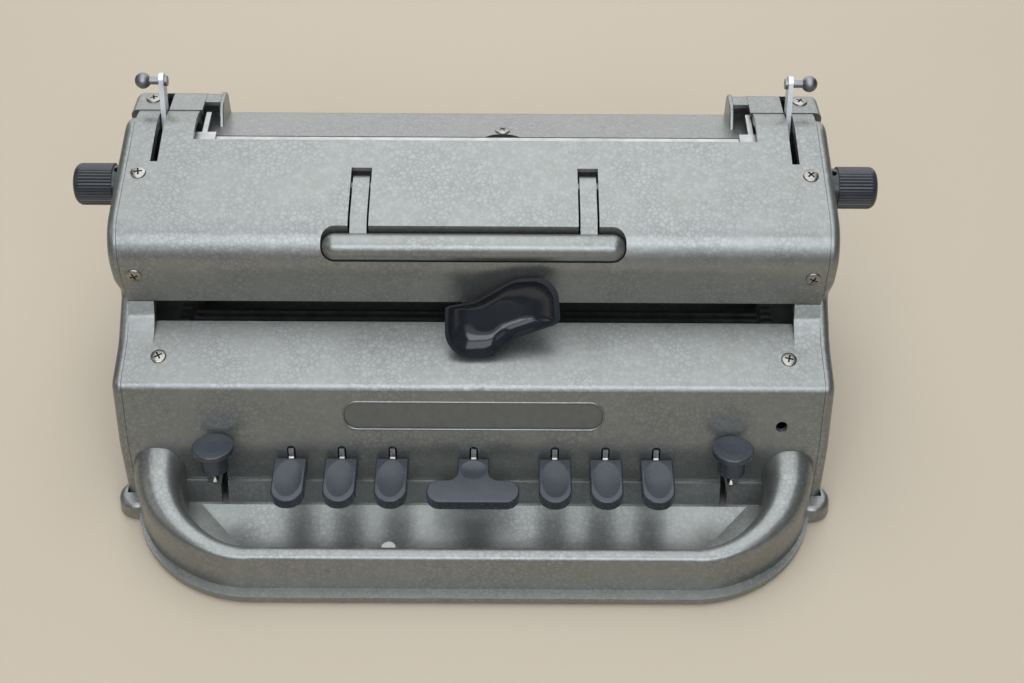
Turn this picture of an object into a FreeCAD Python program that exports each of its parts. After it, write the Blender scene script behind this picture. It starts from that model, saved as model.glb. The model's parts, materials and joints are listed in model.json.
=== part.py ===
import FreeCAD, Part
import math
import os

import Sketcher
from FreeCAD import Placement, Rotation, Vector

# Mechanical braille writer, in millimetres.
# X runs to the right, Y to the back, Z up. The origin is on the table, under the middle of the machine.

doc = FreeCAD.newDocument("BrailleWriter")
sizes = doc.addObject("Spreadsheet::Sheet", "Sizes")

DRIVING_SIZES = {
    # Body and covers
    "bodyWidth": 350,
    "rimThickness": 5,
    "rimRadius": 4,
    "coverThickness": 2.2,
    "seamGap": 0.2,
    "seatGap": 0.15,
    "landWidth": 11,
    "landWall": 3,
    "standHeight": 1.5,
    "flangeThickness": 4,
    "frontReach": 111,
    "rearReach": 111,
    # Side outline, from the toe in front, over the top, to the rear seam
    "toeReach": 52.5,
    "kneeReach": 47,
    "kneeHeight": 39.5,
    "kneeRadius": 60,
    "crestReach": 34.8,
    "crestHeight": 73.1,
    "crestRadius": 7,
    "restBendReach": 11,
    "restBendHeight": 78.2,
    "restBendRadius": 25,
    "waistInset": 9.5,
    "waistHeight": 90.3,
    "waistRadius": 3,
    "bulgeFront": 3.3,
    "bulgeFootHeight": 103,
    "bulgeFootRadius": 20,
    "bulgeTopHeight": 130.8,
    "bulgeRadius": 22,
    "rearSeam": 90,
    "crownHeight": 146.3,
    "crownRadius": 14,
    # Base casting
    "baseHalfWidth": 170,
    "cornerRadius": 64,
    "shoulderStart": 46,
    "rearCornerRadius": 4,
    "railFrontHeight": 26,
    "railBackHeight": 39.5,
    "railRootHeight": 3,
    "railFrontFoot": 59,
    "railFrontInner": 46.5,
    "railBackFoot": 63.5,
    "railBackInner": 37,
    "railDraft": 1,
    "railOverrun": 10,
    "trayLipReach": 57,
    "trayLipHeight": 9,
    "trayWallReach": 51.6,
    "trayWallHeight": 19.5,
    "trayHalfWidth": 150,
    "trayFrontInset": 14,
    "troughRadius": 36,
    "troughDepth": 5.2,
    "troughHalfWidth": 138,
    "lugRadius": 10,
    "lugHeight": 10,
    "lugCrownRadius": 3,
    "frontLugReach": 52,
    "rearLugInset": 19,
    "floorOpeningHalfWidth": 140,
    "floorOpeningFront": 36,
    "floorOpeningRear": 82,
    "bottomPlateThickness": 1.2,
    "bottomPlateLap": 8,
    "footRadius": 7,
    "footSink": 2,
    "footInset": 8,
    # Paper slot and lower front cover
    "slotHalfWidth": 157,
    "slotLipReach": 1,
    "skirtHeight": 92,
    "shoulderTop": 91.6,
    "shoulderBack": 7.3,
    "shoulderFoot": 9,
    "keySlotWidth": 4.2,
    "keySlotLow": 16,
    "keySlotTop": 41,
    "endSlotWidth": 3.6,
    "endSlotLow": 8,
    "endSlotTop": 43,
    "sightHoleX": 150.5,
    "sightHoleHeight": 52.5,
    "sightHoleRadius": 2.8,
    "namePlateLength": 127,
    "namePlateLow": 50.3,
    "namePlateHigh": 64.6,
    "namePlateSink": 0.7,
    "thumbDishRadius": 120,
    "thumbDishDepth": 0.5,
    "thumbDishX": 2,
    # Top cover and rear cover
    "topRearEdge": 66,
    "tabInner": 139.6,
    "tabFoot": 126,
    "leverSlotX": 157,
    "leverSlotWidth": 3.6,
    "leverSlotFront": 52,
    "leverSlotRearInset": 4,
    "shelfFront": 78,
    "shelfFrontHeight": 134.6,
    "shelfRearHeight": 125,
    "shelfRadius": 6,
    "earInner": 138.5,
    "earFrontHeight": 141.2,
    "earRearHeight": 138.8,
    "earLip": 138,
    "earRadius": 8,
    "hoodInner": 131,
    "hoodFront": 80,
    "hoodFoot": 138.2,
    "bellWindowRadius": 12,
    "bellWindowOffset": 4,
    # Carry handle
    "handleHalfLength": 72.5,
    "handleRadius": 6.5,
    "handleY": 8.9,
    "handleZ": 123.6,
    "handleRelief": 0.3,
    "handleClearTurn": 22,
    "troughGap": 0.7,
    "troughWall": 2,
    "armX": 55,
    "armWidth": 8,
    "armHeight": 6,
    "armSink": 0.4,
    "trunnionGap": 0.5,
    "armSlotWidth": 10,
    "pivotY": 43,
    "pivotZ": 131.5,
    "pivotRadius": 2.5,
    "pivotBossRadius": 4.5,
    "pivotBossWidth": 5,
    "pivotHeel": 5,
    # Keys and levers
    "keyPitch": 25,
    "innerKeyX": 40,
    "keyWidth": 16,
    "keyBack": 50.5,
    "keyFront": 77,
    "keyTop": 37,
    "keyHeight": 6,
    "keyWall": 1.8,
    "keyEdgeRadius": 0.9,
    "keyDishHeight": 20,
    "keyDishDepth": 0.8,
    "keyDishEdge": 1.3,
    "spaceBarWidth": 45,
    "spaceBarDepth": 13.5,
    "spaceStemWidth": 15.5,
    "spaceFillet": 5,
    "endKeyX": 125.8,
    "endLeverX": 125,
    "endKeyY": 58,
    "endKeyZ": 38,
    "endKeyLean": 12,
    "endCapRadius": 10.1,
    "endCapThickness": 3.2,
    "endStemRadius": 6.7,
    "endStemHeight": 11,
    "endDishDepth": 1,
    "leverThickness": 2.5,
    "keyShaftY": -10,
    "keyShaftZ": 22,
    "keyShaftRadius": 3,
    "leverHubRadius": 6,
    "leverDepth": 5,
    "leverNeckTop": 39.5,
    "runningGap": 0.05,
    "sideGap": 0.15,
    # Embossing bars, carriage and head
    "firstBarY": 14,
    "barPitch": 4.5,
    "barThickness": 2,
    "barLow": 40,
    "barHeight": 10,
    "barHalfLength": 152,
    "fingerGap": 0.3,
    "guideInner": 147,
    "guideMargin": 4,
    "guideRise": 20,
    "carriageX": 14,
    "carriageHalfLength": 24,
    "railRadius": 4,
    "lowerRailFront": 3,
    "lowerRailRear": 49,
    "lowerRailZ": 66,
    "pinCarriageLow": 59,
    "pinCarriageHigh": 73,
    "pinBlockFront": 11,
    "pinBlockRear": 39,
    "pinBlockTop": 82,
    "pinRadius": 0.8,
    "pinRise": 0.9,
    "headRailY": 29,
    "headRailZ": 102,
    "headFront": 10,
    "headRear": 38,
    "headLow": 92.4,
    "headHigh": 109,
    "rackFront": 39.5,
    "rackThickness": 3.5,
    "rackLow": 95,
    "rackHeight": 8,
    "rackPitch": 6.4,
    "rackToothDepth": 2.5,
    "rackTeeth": 42,
    "headPivotY": 20,
    "headPivotZ": 92.6,
    "headPivotRadius": 1.5,
    # Scoop-shaped head lever, laid out in its own tilted plane
    "scoopToeY": -21.3,
    "scoopToeZ": 79.2,
    "scoopTilt": 62,
    "scoopDepth": 9,
    "scoopWall": 2,
    "scoopFocusAcross": 8,
    "scoopFocusAlong": 18,
    "tangThickness": 2.2,
    "tangLow": 89.6,
    "tangWidth": 16,
    "tangOffset": -20,
    "tangFront": -6.5,
    "tangRear": 24,
    # Paper feed
    "rollerY": 58.5,
    "rollerZ": 119,
    "rollerRadius": 14,
    "rollerHalfLength": 145,
    "shaftRadius": 4,
    "knobEndWall": 10,
    "bushRadius": 7,
    "bushFlangeRadius": 9,
    "bushFlangeThickness": 1,
    "knobReach": 200,
    "knobRadius": 10.5,
    "knobCollarRadius": 9.6,
    "knobCollarLength": 5,
    "knobEndRadius": 3.5,
    "knobGap": 0.5,
    "knobRibs": 40,
    "knobRibDepth": 0.5,
    "setScrewRadius": 1.8,
    "ratchetRadius": 11,
    "ratchetTeeth": 20,
    "ratchetToothDepth": 1.8,
    "ratchetInner": 148,
    "ratchetThickness": 3,
    "pawlY": 50,
    "pawlZ": 98,
    "pawlHubRadius": 4,
    "pawlBore": 2.5,
    "pawlTipGap": 0.7,
    "pressureRadius": 6,
    "pressureGap": 0.4,
    "pressureAngle": 60,
    "pressureHalfLength": 140,
    "pressureShaftRadius": 2.5,
    "seatDepth": 3,
    # Paper release levers
    "releaseY": 74,
    "releaseZ": 112,
    "releaseLean": 25,
    "releaseLength": 52.5,
    "releaseWidth": 7,
    "releaseThickness": 2.4,
    "releaseHubRadius": 6,
    "releaseStudRadius": 3,
    "ballDistance": 48.5,
    "ballRadius": 4,
    "ballReach": 8.5,
    "ballNeckRadius": 1.9,
    "ballRivetRadius": 2.6,
    "ballRivetHeight": 1.4,
    # Mainspring barrel
    "barrelY": 64,
    "barrelZ": 38,
    "barrelRadius": 18,
    "barrelInner": 152,
    "barrelThickness": 14,
    "barrelRim": 2,
    "barrelSpindleRadius": 4,
    # Margin stops and bell
    "marginBarFront": 71,
    "marginBarDepth": 4,
    "marginBarLow": 130.5,
    "marginBarHeight": 6,
    "marginBarReach": 150,
    "hangerLength": 5.4,
    "leftStopX": -136,
    "rightStopX": 137.8,
    "stopLength": 12,
    "stopWall": 1.6,
    "fingerThickness": 2.5,
    "fingerRear": 94,
    "fingerTop": 137.6,
    "fingerLow": 134.9,
    "bellX": 13.3,
    "bellY": 85.6,
    "bellRadius": 11,
    "bellHeight": 8,
    "bellTop": 126.5,
    "bellWall": 1.2,
    "bellPostRadius": 3,
    "hammerX": 36,
    "hammerY": 90,
    "hammerZ": 119,
    "hammerStudRadius": 1.8,
    "hammerHubRadius": 4,
    "hammerHeadRadius": 2.6,
    "hammerGap": 0.8,
    "hammerThickness": 3,
    # Screws
    "screwHeadRadius": 3.8,
    "screwHeadHeight": 1.1,
    "screwRadius": 1.7,
    "screwLength": 6,
    "screwHoleGap": 0.1,
    "coverScrewInset": 11.5,
    "restScrewX": 153.5,
    "restScrewY": -19.5,
    "topScrewY": 45,
    "bulgeScrewHeight": 109,
    "earScrewX": 165,
}

for row, (alias, number) in enumerate(DRIVING_SIZES.items(), start=1):
    sizes.set("A%d" % row, alias)
    sizes.set("B%d" % row, str(number))
    sizes.setAlias("B%d" % row, alias)
doc.recompute()


class Measure:
    # A length together with the cell formula that gives it.
    def __init__(self, number, formula):
        self.number = float(number)
        self.formula = formula

    def __add__(self, other):
        other = measure(other)
        return Measure(self.number + other.number, "(%s + %s)" % (self.formula, other.formula))

    def __sub__(self, other):
        other = measure(other)
        return Measure(self.number - other.number, "(%s - %s)" % (self.formula, other.formula))

    def __mul__(self, other):
        other = measure(other)
        return Measure(self.number * other.number, "(%s * %s)" % (self.formula, other.formula))

    def __truediv__(self, other):
        other = measure(other)
        return Measure(self.number / other.number, "(%s / %s)" % (self.formula, other.formula))

    def __neg__(self):
        return Measure(-self.number, "(0 - %s)" % self.formula)

    def __radd__(self, other):
        return measure(other) + self

    def __rsub__(self, other):
        return measure(other) - self

    def __rmul__(self, other):
        return measure(other) * self


def measure(value):
    if isinstance(value, Measure):
        return value
    return Measure(value, "%.9g" % value if value >= 0 else "(0 - %.9g)" % -value)


def sine(angle):
    return Measure(math.sin(math.radians(angle.number)), "sin(%s)" % angle.formula)


def cosine(angle):
    return Measure(math.cos(math.radians(angle.number)), "cos(%s)" % angle.formula)


def root(value):
    return Measure(math.sqrt(value.number), "sqrt(%s)" % value.formula)


class Cells:
    # Each alias of the sheet as a measure.
    def __getattr__(self, alias):
        return Measure(float(sizes.get(alias)), "Sizes." + alias)


c = Cells()
worked_sets = []
VALUES_PER_SET = 60
LONGEST_PLAIN_FORMULA = 60


def settle(value):
    # Keeps a long formula under a short name of its own, so that later formulas stay short.
    if len(value.formula) <= LONGEST_PLAIN_FORMULA:
        return value
    if not worked_sets or len(worked_sets[-1].PropertiesList) >= VALUES_PER_SET:
        worked_sets.append(doc.addObject("App::VarSet", "Worked%s" % chr(ord("A") + len(worked_sets) // 26)
                                         + chr(ord("a") + len(worked_sets) % 26)))
    holder = worked_sets[-1]
    name = "value%d" % len(holder.PropertiesList)
    holder.addProperty("App::PropertyFloat", name)
    holder.setExpression(name, value.formula)
    return Measure(value.number, "%s.%s" % (holder.Name, name))


def span(first, second):
    # Two values, the lower one first.
    return sorted((measure(first), measure(second)), key=lambda value: value.number)

AXES = {"X": Vector(1, 0, 0), "Y": Vector(0, 1, 0), "Z": Vector(0, 0, 1)}
PLANES = {
    "XY": Rotation(),
    "XZ": Rotation(Vector(1, 0, 0), Vector(0, 0, 1), Vector(0, -1, 0)),
    "YZ": Rotation(Vector(0, 1, 0), Vector(0, 0, 1), Vector(1, 0, 0)),
}


def bind(item, prop, value):
    item.setExpression(prop, measure(value).formula)


def place(item, x, y, z, rotation=None):
    item.Placement = Placement(Vector(0, 0, 0), rotation or Rotation())
    for axis, value in zip("xyz", (x, y, z)):
        bind(item, "Placement.Base." + axis, value)
    return item


def box(name, x, y, z):
    # A block between the two values of each pair.
    item = doc.addObject("Part::Box", name)
    for prop, (low, high) in zip(("Length", "Width", "Height"), (x, y, z)):
        bind(item, prop, measure(high) - low)
    return place(item, x[0], y[0], z[0])


def rod(name, axis, radius, low, high, across):
    # A cylinder along an axis from low to high, with its centre at the two other coordinates.
    item = doc.addObject("Part::Cylinder", name)
    bind(item, "Radius", radius)
    bind(item, "Height", measure(high) - low)
    first, second = across
    base = {"X": (low, first, second), "Y": (first, low, second), "Z": (first, second, low)}[axis]
    return place(item, *base, rotation=Rotation(Vector(0, 0, 1), AXES[axis]))


def ball(name, radius, x, y, z, rotation=None):
    item = doc.addObject("Part::Sphere", name)
    bind(item, "Radius", radius)
    return place(item, x, y, z, rotation)


def fuse(name, items):
    item = doc.addObject("Part::MultiFuse", name)
    item.Shapes = items
    item.Refine = True
    return item


def group(name, items):
    item = doc.addObject("Part::Compound", name)
    item.Links = items
    return item


def cut(name, base, tools):
    item = doc.addObject("Part::Cut", name)
    item.Base = base
    item.Tool = tools[0] if len(tools) == 1 else fuse(name + "Tools", tools)
    return item


def common(name, first, second):
    item = doc.addObject("Part::Common", name)
    item.Base = first
    item.Tool = second
    return item


def mirror_across(name, source):
    # The same piece on the other side of the middle plane.
    item = doc.addObject("Part::Mirroring", name)
    item.Source = source
    item.Base = Vector(0, 0, 0)
    item.Normal = Vector(1, 0, 0)
    return item


def round_edges(name, base, radius, chosen):
    # Rounds the edges for which chosen(edge) is true.
    doc.recompute()
    item = doc.addObject("Part::Fillet", name)
    item.Base = base
    picked = []
    for number, edge in enumerate(base.Shape.Edges, start=1):
        if chosen(edge):
            picked.append((number, radius.number, radius.number))
    item.Edges = picked
    return item


def at_height(height, tolerance=0.01):
    return lambda edge: all(abs(v.Z - height.number) < tolerance for v in edge.Vertexes)


def unit(first, second):
    across = second[0] - first[0]
    along = second[1] - first[1]
    length = settle(root(across * across + along * along))
    return settle(across / length), settle(along / length)


def offset_path(corners, distance, closed=False):
    # The same path moved to its left by distance, with the rounding of each corner following.
    count = len(corners)
    moved = []
    for i, corner in enumerate(corners):
        radius = corner[2] if len(corner) > 2 else None
        before = unit(corners[i - 1], corner) if closed or i > 0 else None
        after = unit(corner, corners[(i + 1) % count]) if closed or i < count - 1 else None
        if before is None or after is None:
            along = after or before
            moved.append((settle(corner[0] - distance * along[1]), settle(corner[1] + distance * along[0])))
            continue
        normal_sum = (-(before[1] + after[1]), before[0] + after[0])
        spread = settle(1 + before[0] * after[0] + before[1] * after[1])
        point = (
            settle(corner[0] + distance * normal_sum[0] / spread),
            settle(corner[1] + distance * normal_sum[1] / spread),
        )
        if radius is None:
            moved.append(point)
            continue
        turns_left = before[0].number * after[1].number - before[1].number * after[0].number > 0
        moved.append(point + (radius - distance if turns_left else radius + distance,))
    return moved


def strip(corners, thickness):
    # Closed outline of a sheet that follows a path, with its thickness to the right of the path.
    inner = offset_path(corners, -thickness)
    return corners + list(reversed(inner))


def rounded_ends(before, corner, after):
    # Where the straight lines on both sides of a corner end: at the corner, or where its rounding begins.
    if len(corner) < 3:
        return corner, corner
    arriving = unit(before, corner)
    leaving = unit(corner, after)
    turn_cosine = settle(arriving[0] * leaving[0] + arriving[1] * leaving[1])
    reach = settle(corner[2] * root((1 - turn_cosine) / (1 + turn_cosine)))
    entry = tuple(settle(corner[i] - arriving[i] * reach) for i in (0, 1))
    departure = tuple(settle(corner[i] + leaving[i] * reach) for i in (0, 1))
    return entry, departure


def flat(point):
    return Vector(point[0].number, point[1].number, 0)


def hold(sketch, geometry, end, point):
    # Ties an end of a line to its distances from the sketch's origin.
    for kind, value in (("DistanceX", point[0]), ("DistanceY", point[1])):
        number = sketch.addConstraint(Sketcher.Constraint(kind, -1, 1, geometry, end, value.number))
        sketch.setExpression("Constraints[%d]" % number, value.formula)


def draw(sketch, corners):
    # A closed outline. Each corner is two measures, with a third where it is rounded.
    count = len(corners)
    ends = [rounded_ends(corners[i - 1], corners[i], corners[(i + 1) % count]) for i in range(count)]
    lines = []
    for i in range(count):
        first = flat(ends[i][1])
        last = flat(ends[(i + 1) % count][0])
        heading = flat(corners[(i + 1) % count]) - flat(corners[i])
        if (last - first).dot(heading) <= 0:
            raise ValueError("%s has no room for the rounding beside corner %d" % (sketch.Name, i))
        lines.append(sketch.addGeometry(Part.LineSegment(first, last)))
    for i, corner in enumerate(corners):
        line_in, line_out = lines[i - 1], lines[i]
        hold(sketch, line_out, 1, ends[i][1])
        if len(corner) < 3:
            sketch.addConstraint(Sketcher.Constraint("Coincident", line_in, 2, line_out, 1))
            continue
        hold(sketch, line_in, 2, ends[i][0])
        entry, departure = flat(ends[i][0]), flat(ends[i][1])
        inward = ((entry - flat(corner)).normalize() + (departure - flat(corner)).normalize()).normalize()
        half_turn = (entry - flat(corner)).getAngle(inward)
        radius = corner[2].number
        centre = flat(corner) + inward * (radius / math.sin(half_turn))
        turns_left = (flat(corner) - entry).cross(departure - flat(corner)).z > 0
        first, last = (entry, departure) if turns_left else (departure, entry)
        angles = [math.atan2(end.y - centre.y, end.x - centre.x) for end in (first, last)]
        if angles[1] < angles[0]:
            angles[1] += 2 * math.pi
        arc = sketch.addGeometry(Part.ArcOfCircle(Part.Circle(centre, Vector(0, 0, 1), radius), *angles))
        sketch.addConstraint(Sketcher.Constraint("Coincident", line_in, 2, arc, 1 if turns_left else 2))
        sketch.addConstraint(Sketcher.Constraint("Coincident", line_out, 1, arc, 2 if turns_left else 1))
        number = sketch.addConstraint(Sketcher.Constraint("Radius", arc, radius))
        sketch.setExpression("Constraints[%d]" % number, corner[2].formula)
    return sketch


def outline(name, plane, corners, level):
    # An outline drawn on a plane at a level along the plane's third axis.
    sketch = doc.addObject("Sketcher::SketchObject", name)
    draw(sketch, [tuple(measure(value) for value in corner) for corner in corners])
    base = {"XY": (0, 0, level), "XZ": (0, level, 0), "YZ": (level, 0, 0)}[plane]
    return place(sketch, *base, rotation=PLANES[plane])


def prism(name, plane, corners, low, high):
    # An outline carried from low to high along the plane's third axis.
    item = doc.addObject("Part::Extrusion", name)
    item.Base = outline(name + "Outline", plane, corners, high if plane == "XZ" else low)
    item.DirMode = "Normal"
    bind(item, "LengthFwd", measure(high) - low)
    item.Solid = True
    return item


def turned(name, axis, corners, centre):
    # An outline of (distance along the axis, radius) turned once round the axis.
    sketch = doc.addObject("Sketcher::SketchObject", name + "Outline")
    draw(sketch, [tuple(measure(value) for value in corner) for corner in corners])
    side = {"X": Vector(0, 0, 1), "Y": Vector(0, 0, 1), "Z": Vector(1, 0, 0)}[axis]
    along = AXES[axis]
    place(sketch, *centre, rotation=Rotation(along, side, along.cross(side)))
    item = doc.addObject("Part::Revolution", name)
    item.Source = sketch
    item.Axis = along
    item.Solid = True
    for letter, value in zip("xyz", centre):
        bind(item, "Base." + letter, value)
    return item


def plane_of(body, role):
    return [feature for feature in body.Origin.OriginFeatures if feature.Role == role][0]


def body_sketch(body, name, role, level, corners):
    sketch = body.newObject("Sketcher::SketchObject", name)
    sketch.AttachmentSupport = (plane_of(body, role), "")
    sketch.MapMode = "FlatFace"
    bind(sketch, "AttachmentOffset.Base.z", level)
    draw(sketch, [tuple(measure(value) for value in corner) for corner in corners])
    return sketch


def pad(body, sketch, length, backwards=False):
    feature = body.newObject("PartDesign::Pad", sketch.Name + "Pad")
    feature.Profile = sketch
    bind(feature, "Length", length)
    feature.Reversed = backwards
    return feature


def pocket(body, sketch, length, backwards=False):
    feature = body.newObject("PartDesign::Pocket", sketch.Name + "Pocket")
    feature.Profile = sketch
    bind(feature, "Length", length)
    feature.Reversed = backwards
    return feature


def body_fillet(body, feature, radius, chosen):
    doc.recompute()
    picked = []
    for number, edge in enumerate(feature.Shape.Edges, start=1):
        if chosen(edge):
            picked.append("Edge%d" % number)
    item = body.newObject("PartDesign::Fillet", feature.Name + "Fillet")
    item.Base = (feature, picked)
    bind(item, "Radius", radius)
    return item


nodes = {}


def node(name, item):
    # Keeps an item as a piece of the machine under its own name.
    item.Label = name
    nodes[name] = item
    return item


# Shared lines and levels
half_width = c.bodyWidth / 2
cover_half = half_width - c.rimThickness
cover_end = cover_half - c.seamGap
base_top = c.standHeight + c.flangeThickness
cover_foot = base_top + c.seamGap
top_slope = (c.crownHeight - c.bulgeTopHeight) / (c.rearSeam - c.bulgeFront)
rest_slope = (c.waistHeight - c.restBendHeight) / (c.waistInset + c.restBendReach)
shelf_slope = (c.shelfRearHeight - c.shelfFrontHeight) / (c.rearReach - c.shelfFront)
slot_lip_height = c.restBendHeight + rest_slope * (c.slotLipReach + c.restBendReach)
rear_start = c.rearSeam + c.seamGap
tray_front = c.frontReach - c.trayFrontInset
shaft_reach = c.knobReach - c.knobEndWall
tab_end = c.rearSeam - c.seamGap
roller_centre = (c.rollerY, c.rollerZ)
key_shaft = (c.keyShaftY, c.keyShaftZ)
release_pivot = (c.releaseY, c.releaseZ)
handle_pivot = (c.pivotY, c.pivotZ)
pawl_pivot = (c.pawlY, c.pawlZ)
barrel_centre = (c.barrelY, c.barrelZ)
hammer_pivot = (c.hammerX, c.hammerY)
pressure_distance = c.rollerRadius + c.pressureRadius + c.pressureGap
pressure_centre = (
    c.rollerY + pressure_distance * cosine(c.pressureAngle),
    c.rollerZ - pressure_distance * sine(c.pressureAngle),
)


def top_height(y):
    # Height of the top cover's outside at a distance back.
    return c.bulgeTopHeight + top_slope * (y - c.bulgeFront)


def top_underside(y):
    # Height of the top cover's inside at a distance back.
    return top_height(y) - c.coverThickness * root(1 + top_slope * top_slope)


def rest_height_at(y):
    # Height of the steeper part of the paper rest at a distance back.
    return c.restBendHeight + rest_slope * (y + c.restBendReach)


def shelf_height(y):
    return c.shelfFrontHeight + shelf_slope * (y - c.shelfFront)


side_outline = [
    (-c.toeReach, base_top),
    (-c.kneeReach, c.kneeHeight, c.kneeRadius),
    (-c.crestReach, c.crestHeight, c.crestRadius),
    (-c.restBendReach, c.restBendHeight, c.restBendRadius),
    (c.waistInset, c.waistHeight, c.waistRadius),
    (c.bulgeFront, c.bulgeFootHeight, c.bulgeFootRadius),
    (c.bulgeFront, c.bulgeTopHeight, c.bulgeRadius),
    (c.rearSeam, c.crownHeight, c.crownRadius),
    (c.rearSeam, base_top),
]

# Places of the screws that hold the covers: position, and direction of the head.
rest_front_slope = (c.restBendHeight - c.crestHeight) / (c.crestReach - c.restBendReach)
rest_screw_height = c.restBendHeight + rest_front_slope * (c.restScrewY + c.restBendReach)
ear_slope = (c.earRearHeight - c.earFrontHeight) / (c.rearReach - rear_start)
ear_screw_y = (rear_start + c.rearReach) / 2
ear_screw_height = c.earFrontHeight + ear_slope * (ear_screw_y - rear_start)


def square_to(slope):
    # Direction that stands square on a surface that rises towards the back.
    return Vector(0, -slope.number, 1)


screw_places = []
for side in (-1, 1):
    screw_x = side * (cover_half - c.coverScrewInset + c.rimThickness)
    screw_places.append((screw_x, c.bulgeFront, c.bulgeScrewHeight, Vector(0, -1, 0)))
    screw_places.append((screw_x, c.topScrewY, top_height(c.topScrewY), square_to(top_slope)))
    screw_places.append((side * c.restScrewX, c.restScrewY, rest_screw_height, square_to(rest_front_slope)))
    screw_places.append((side * c.earScrewX, ear_screw_y, ear_screw_height, square_to(ear_slope)))
screw_places.append((c.bellX, c.bellY, shelf_height(c.bellY), square_to(shelf_slope)))


def screw_solid(name, spot, gap):
    # A raised oval head on the surface and a shank below it. With a gap it is the hole instead.
    x, y, z, direction = spot
    rotation = Rotation(Vector(0, 0, 1), direction)
    shank = doc.addObject("Part::Cylinder", name + "Shank")
    bind(shank, "Radius", c.screwRadius + gap)
    bind(shank, "Height", c.screwLength + gap)
    shank.Placement = Placement(Vector(0, 0, 0), rotation)
    down = rotation.multVec(Vector(0, 0, -1))
    for axis, value, step in zip("xyz", (x, y, z), down):
        bind(shank, "Placement.Base." + axis, value + (c.screwLength + gap) * step)
    if gap is not NO_GAP:
        return shank
    head = doc.addObject("Part::Cone", name + "Head")
    bind(head, "Radius1", c.screwHeadRadius)
    bind(head, "Radius2", c.screwHeadRadius * 0.62)
    bind(head, "Height", c.screwHeadHeight)
    place(head, x, y, z, rotation)
    return fuse(name, [shank, head])


NO_GAP = measure(0)


def screw_holes(prefix):
    holes = []
    for number, spot in enumerate(screw_places):
        holes.append(screw_solid("%sHole%d" % (prefix, number), spot, c.screwHoleGap))
    return holes


node("cover_screws", group("coverScrews", [
    screw_solid("coverScrew%d" % i, spot, NO_GAP) for i, spot in enumerate(screw_places)
]))

# Base casting: flange, horseshoe rail, key tray and foot lugs
flange = prism("flange", "XY", [
    (-half_width, c.rearReach, c.rearCornerRadius),
    (-half_width, -c.shoulderStart),
    (-c.baseHalfWidth, -c.shoulderStart),
    (-c.baseHalfWidth, -c.frontReach, c.cornerRadius),
    (c.baseHalfWidth, -c.frontReach, c.cornerRadius),
    (c.baseHalfWidth, -c.shoulderStart),
    (half_width, -c.shoulderStart),
    (half_width, c.rearReach, c.rearCornerRadius),
], c.standHeight, base_top)

corner_x = c.baseHalfWidth - c.cornerRadius
corner_y = c.cornerRadius - c.frontReach


def rail_section(share):
    # Section of the rail at a share of the way from the front (0) to the front cover (1),
    # as distances from the corner's centre and heights.
    foot = c.railFrontFoot + (c.railBackFoot - c.railFrontFoot) * share
    inner = c.railFrontInner + (c.railBackInner - c.railFrontInner) * share
    height = c.railFrontHeight + (c.railBackHeight - c.railFrontHeight) * share
    crown_inner = inner + c.railDraft
    crown_outer = foot - 3.5 * c.railDraft * (1 - share) - 0.5 * c.railDraft
    crown_radius = (crown_outer - crown_inner) * 0.47
    return [
        (inner, c.railRootHeight),
        (crown_inner, height, crown_radius),
        (crown_outer, height, crown_radius),
        (foot, c.railRootHeight),
    ]


def rail_outline(name, share, turn, x, y):
    # The rail's section in the upright plane that stands at a turn round the corner's centre.
    sketch = doc.addObject("Sketcher::SketchObject", name)
    draw(sketch, [tuple(measure(value) for value in corner) for corner in rail_section(share)])
    outward = Vector(-math.cos(math.radians(turn)), -math.sin(math.radians(turn)), 0)
    upright = Vector(0, 0, 1)
    return place(sketch, x, y, 0, Rotation(outward, upright, outward.cross(upright)))


horn_sections = [rail_outline("hornRoot", 1.06, 0, -corner_x, corner_y + c.railOverrun)]
horn_turns = ((0, 1.0), (22, 0.72), (45, 0.4), (68, 0.12), (90, 0.0))
for turn, share in horn_turns:
    horn_sections.append(rail_outline("horn%d" % turn, share, turn, -corner_x, corner_y))
left_horn = doc.addObject("Part::Loft", "leftHorn")
left_horn.Sections = horn_sections
left_horn.Solid = True
right_horn = mirror_across("rightHorn", left_horn)

front_rail_corners = [(corner_y - corner[0],) + corner[1:] for corner in rail_section(0)]
front_rail = prism("frontRail", "YZ", front_rail_corners, -corner_x, corner_x)

tray = prism("tray", "YZ", [
    (-tray_front, c.railRootHeight),
    (-tray_front, c.trayLipHeight),
    (-c.trayLipReach, c.trayLipHeight),
    (-c.trayWallReach, c.trayWallHeight),
    (-c.kneeReach, c.trayWallHeight),
    (-c.kneeReach, c.railRootHeight),
], -c.trayHalfWidth, c.trayHalfWidth)
tray_plan_reach = corner_x + c.railFrontInner + 2 * c.railDraft
tray_plan = prism("trayPlan", "XY", [
    (-tray_plan_reach, -c.kneeReach),
    (-tray_plan_reach, -tray_front, c.railFrontInner),
    (tray_plan_reach, -tray_front, c.railFrontInner),
    (tray_plan_reach, -c.kneeReach),
], c.standHeight, c.railBackHeight)
trough_y = -(c.trayLipReach + tray_front) / 2
trough_mid = c.trayLipHeight - c.troughDepth + c.troughRadius
trough_bore = rod("troughBore", "X", c.troughRadius, -c.troughHalfWidth, c.troughHalfWidth,
                  (trough_y, trough_mid))
trough_taper = tray_front - c.trayLipReach
trough_plan = prism("troughPlan", "XY", [
    (-c.troughHalfWidth, -c.trayLipReach),
    (-c.troughHalfWidth + trough_taper * 0.9, -tray_front - 1),
    (c.troughHalfWidth - trough_taper * 0.9, -tray_front - 1),
    (c.troughHalfWidth, -c.trayLipReach),
], c.standHeight, c.railFrontHeight)
trough = common("trough", trough_bore, trough_plan)
tray_floor = cut("trayFloor", common("trayInside", tray, tray_plan), [trough])

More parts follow.
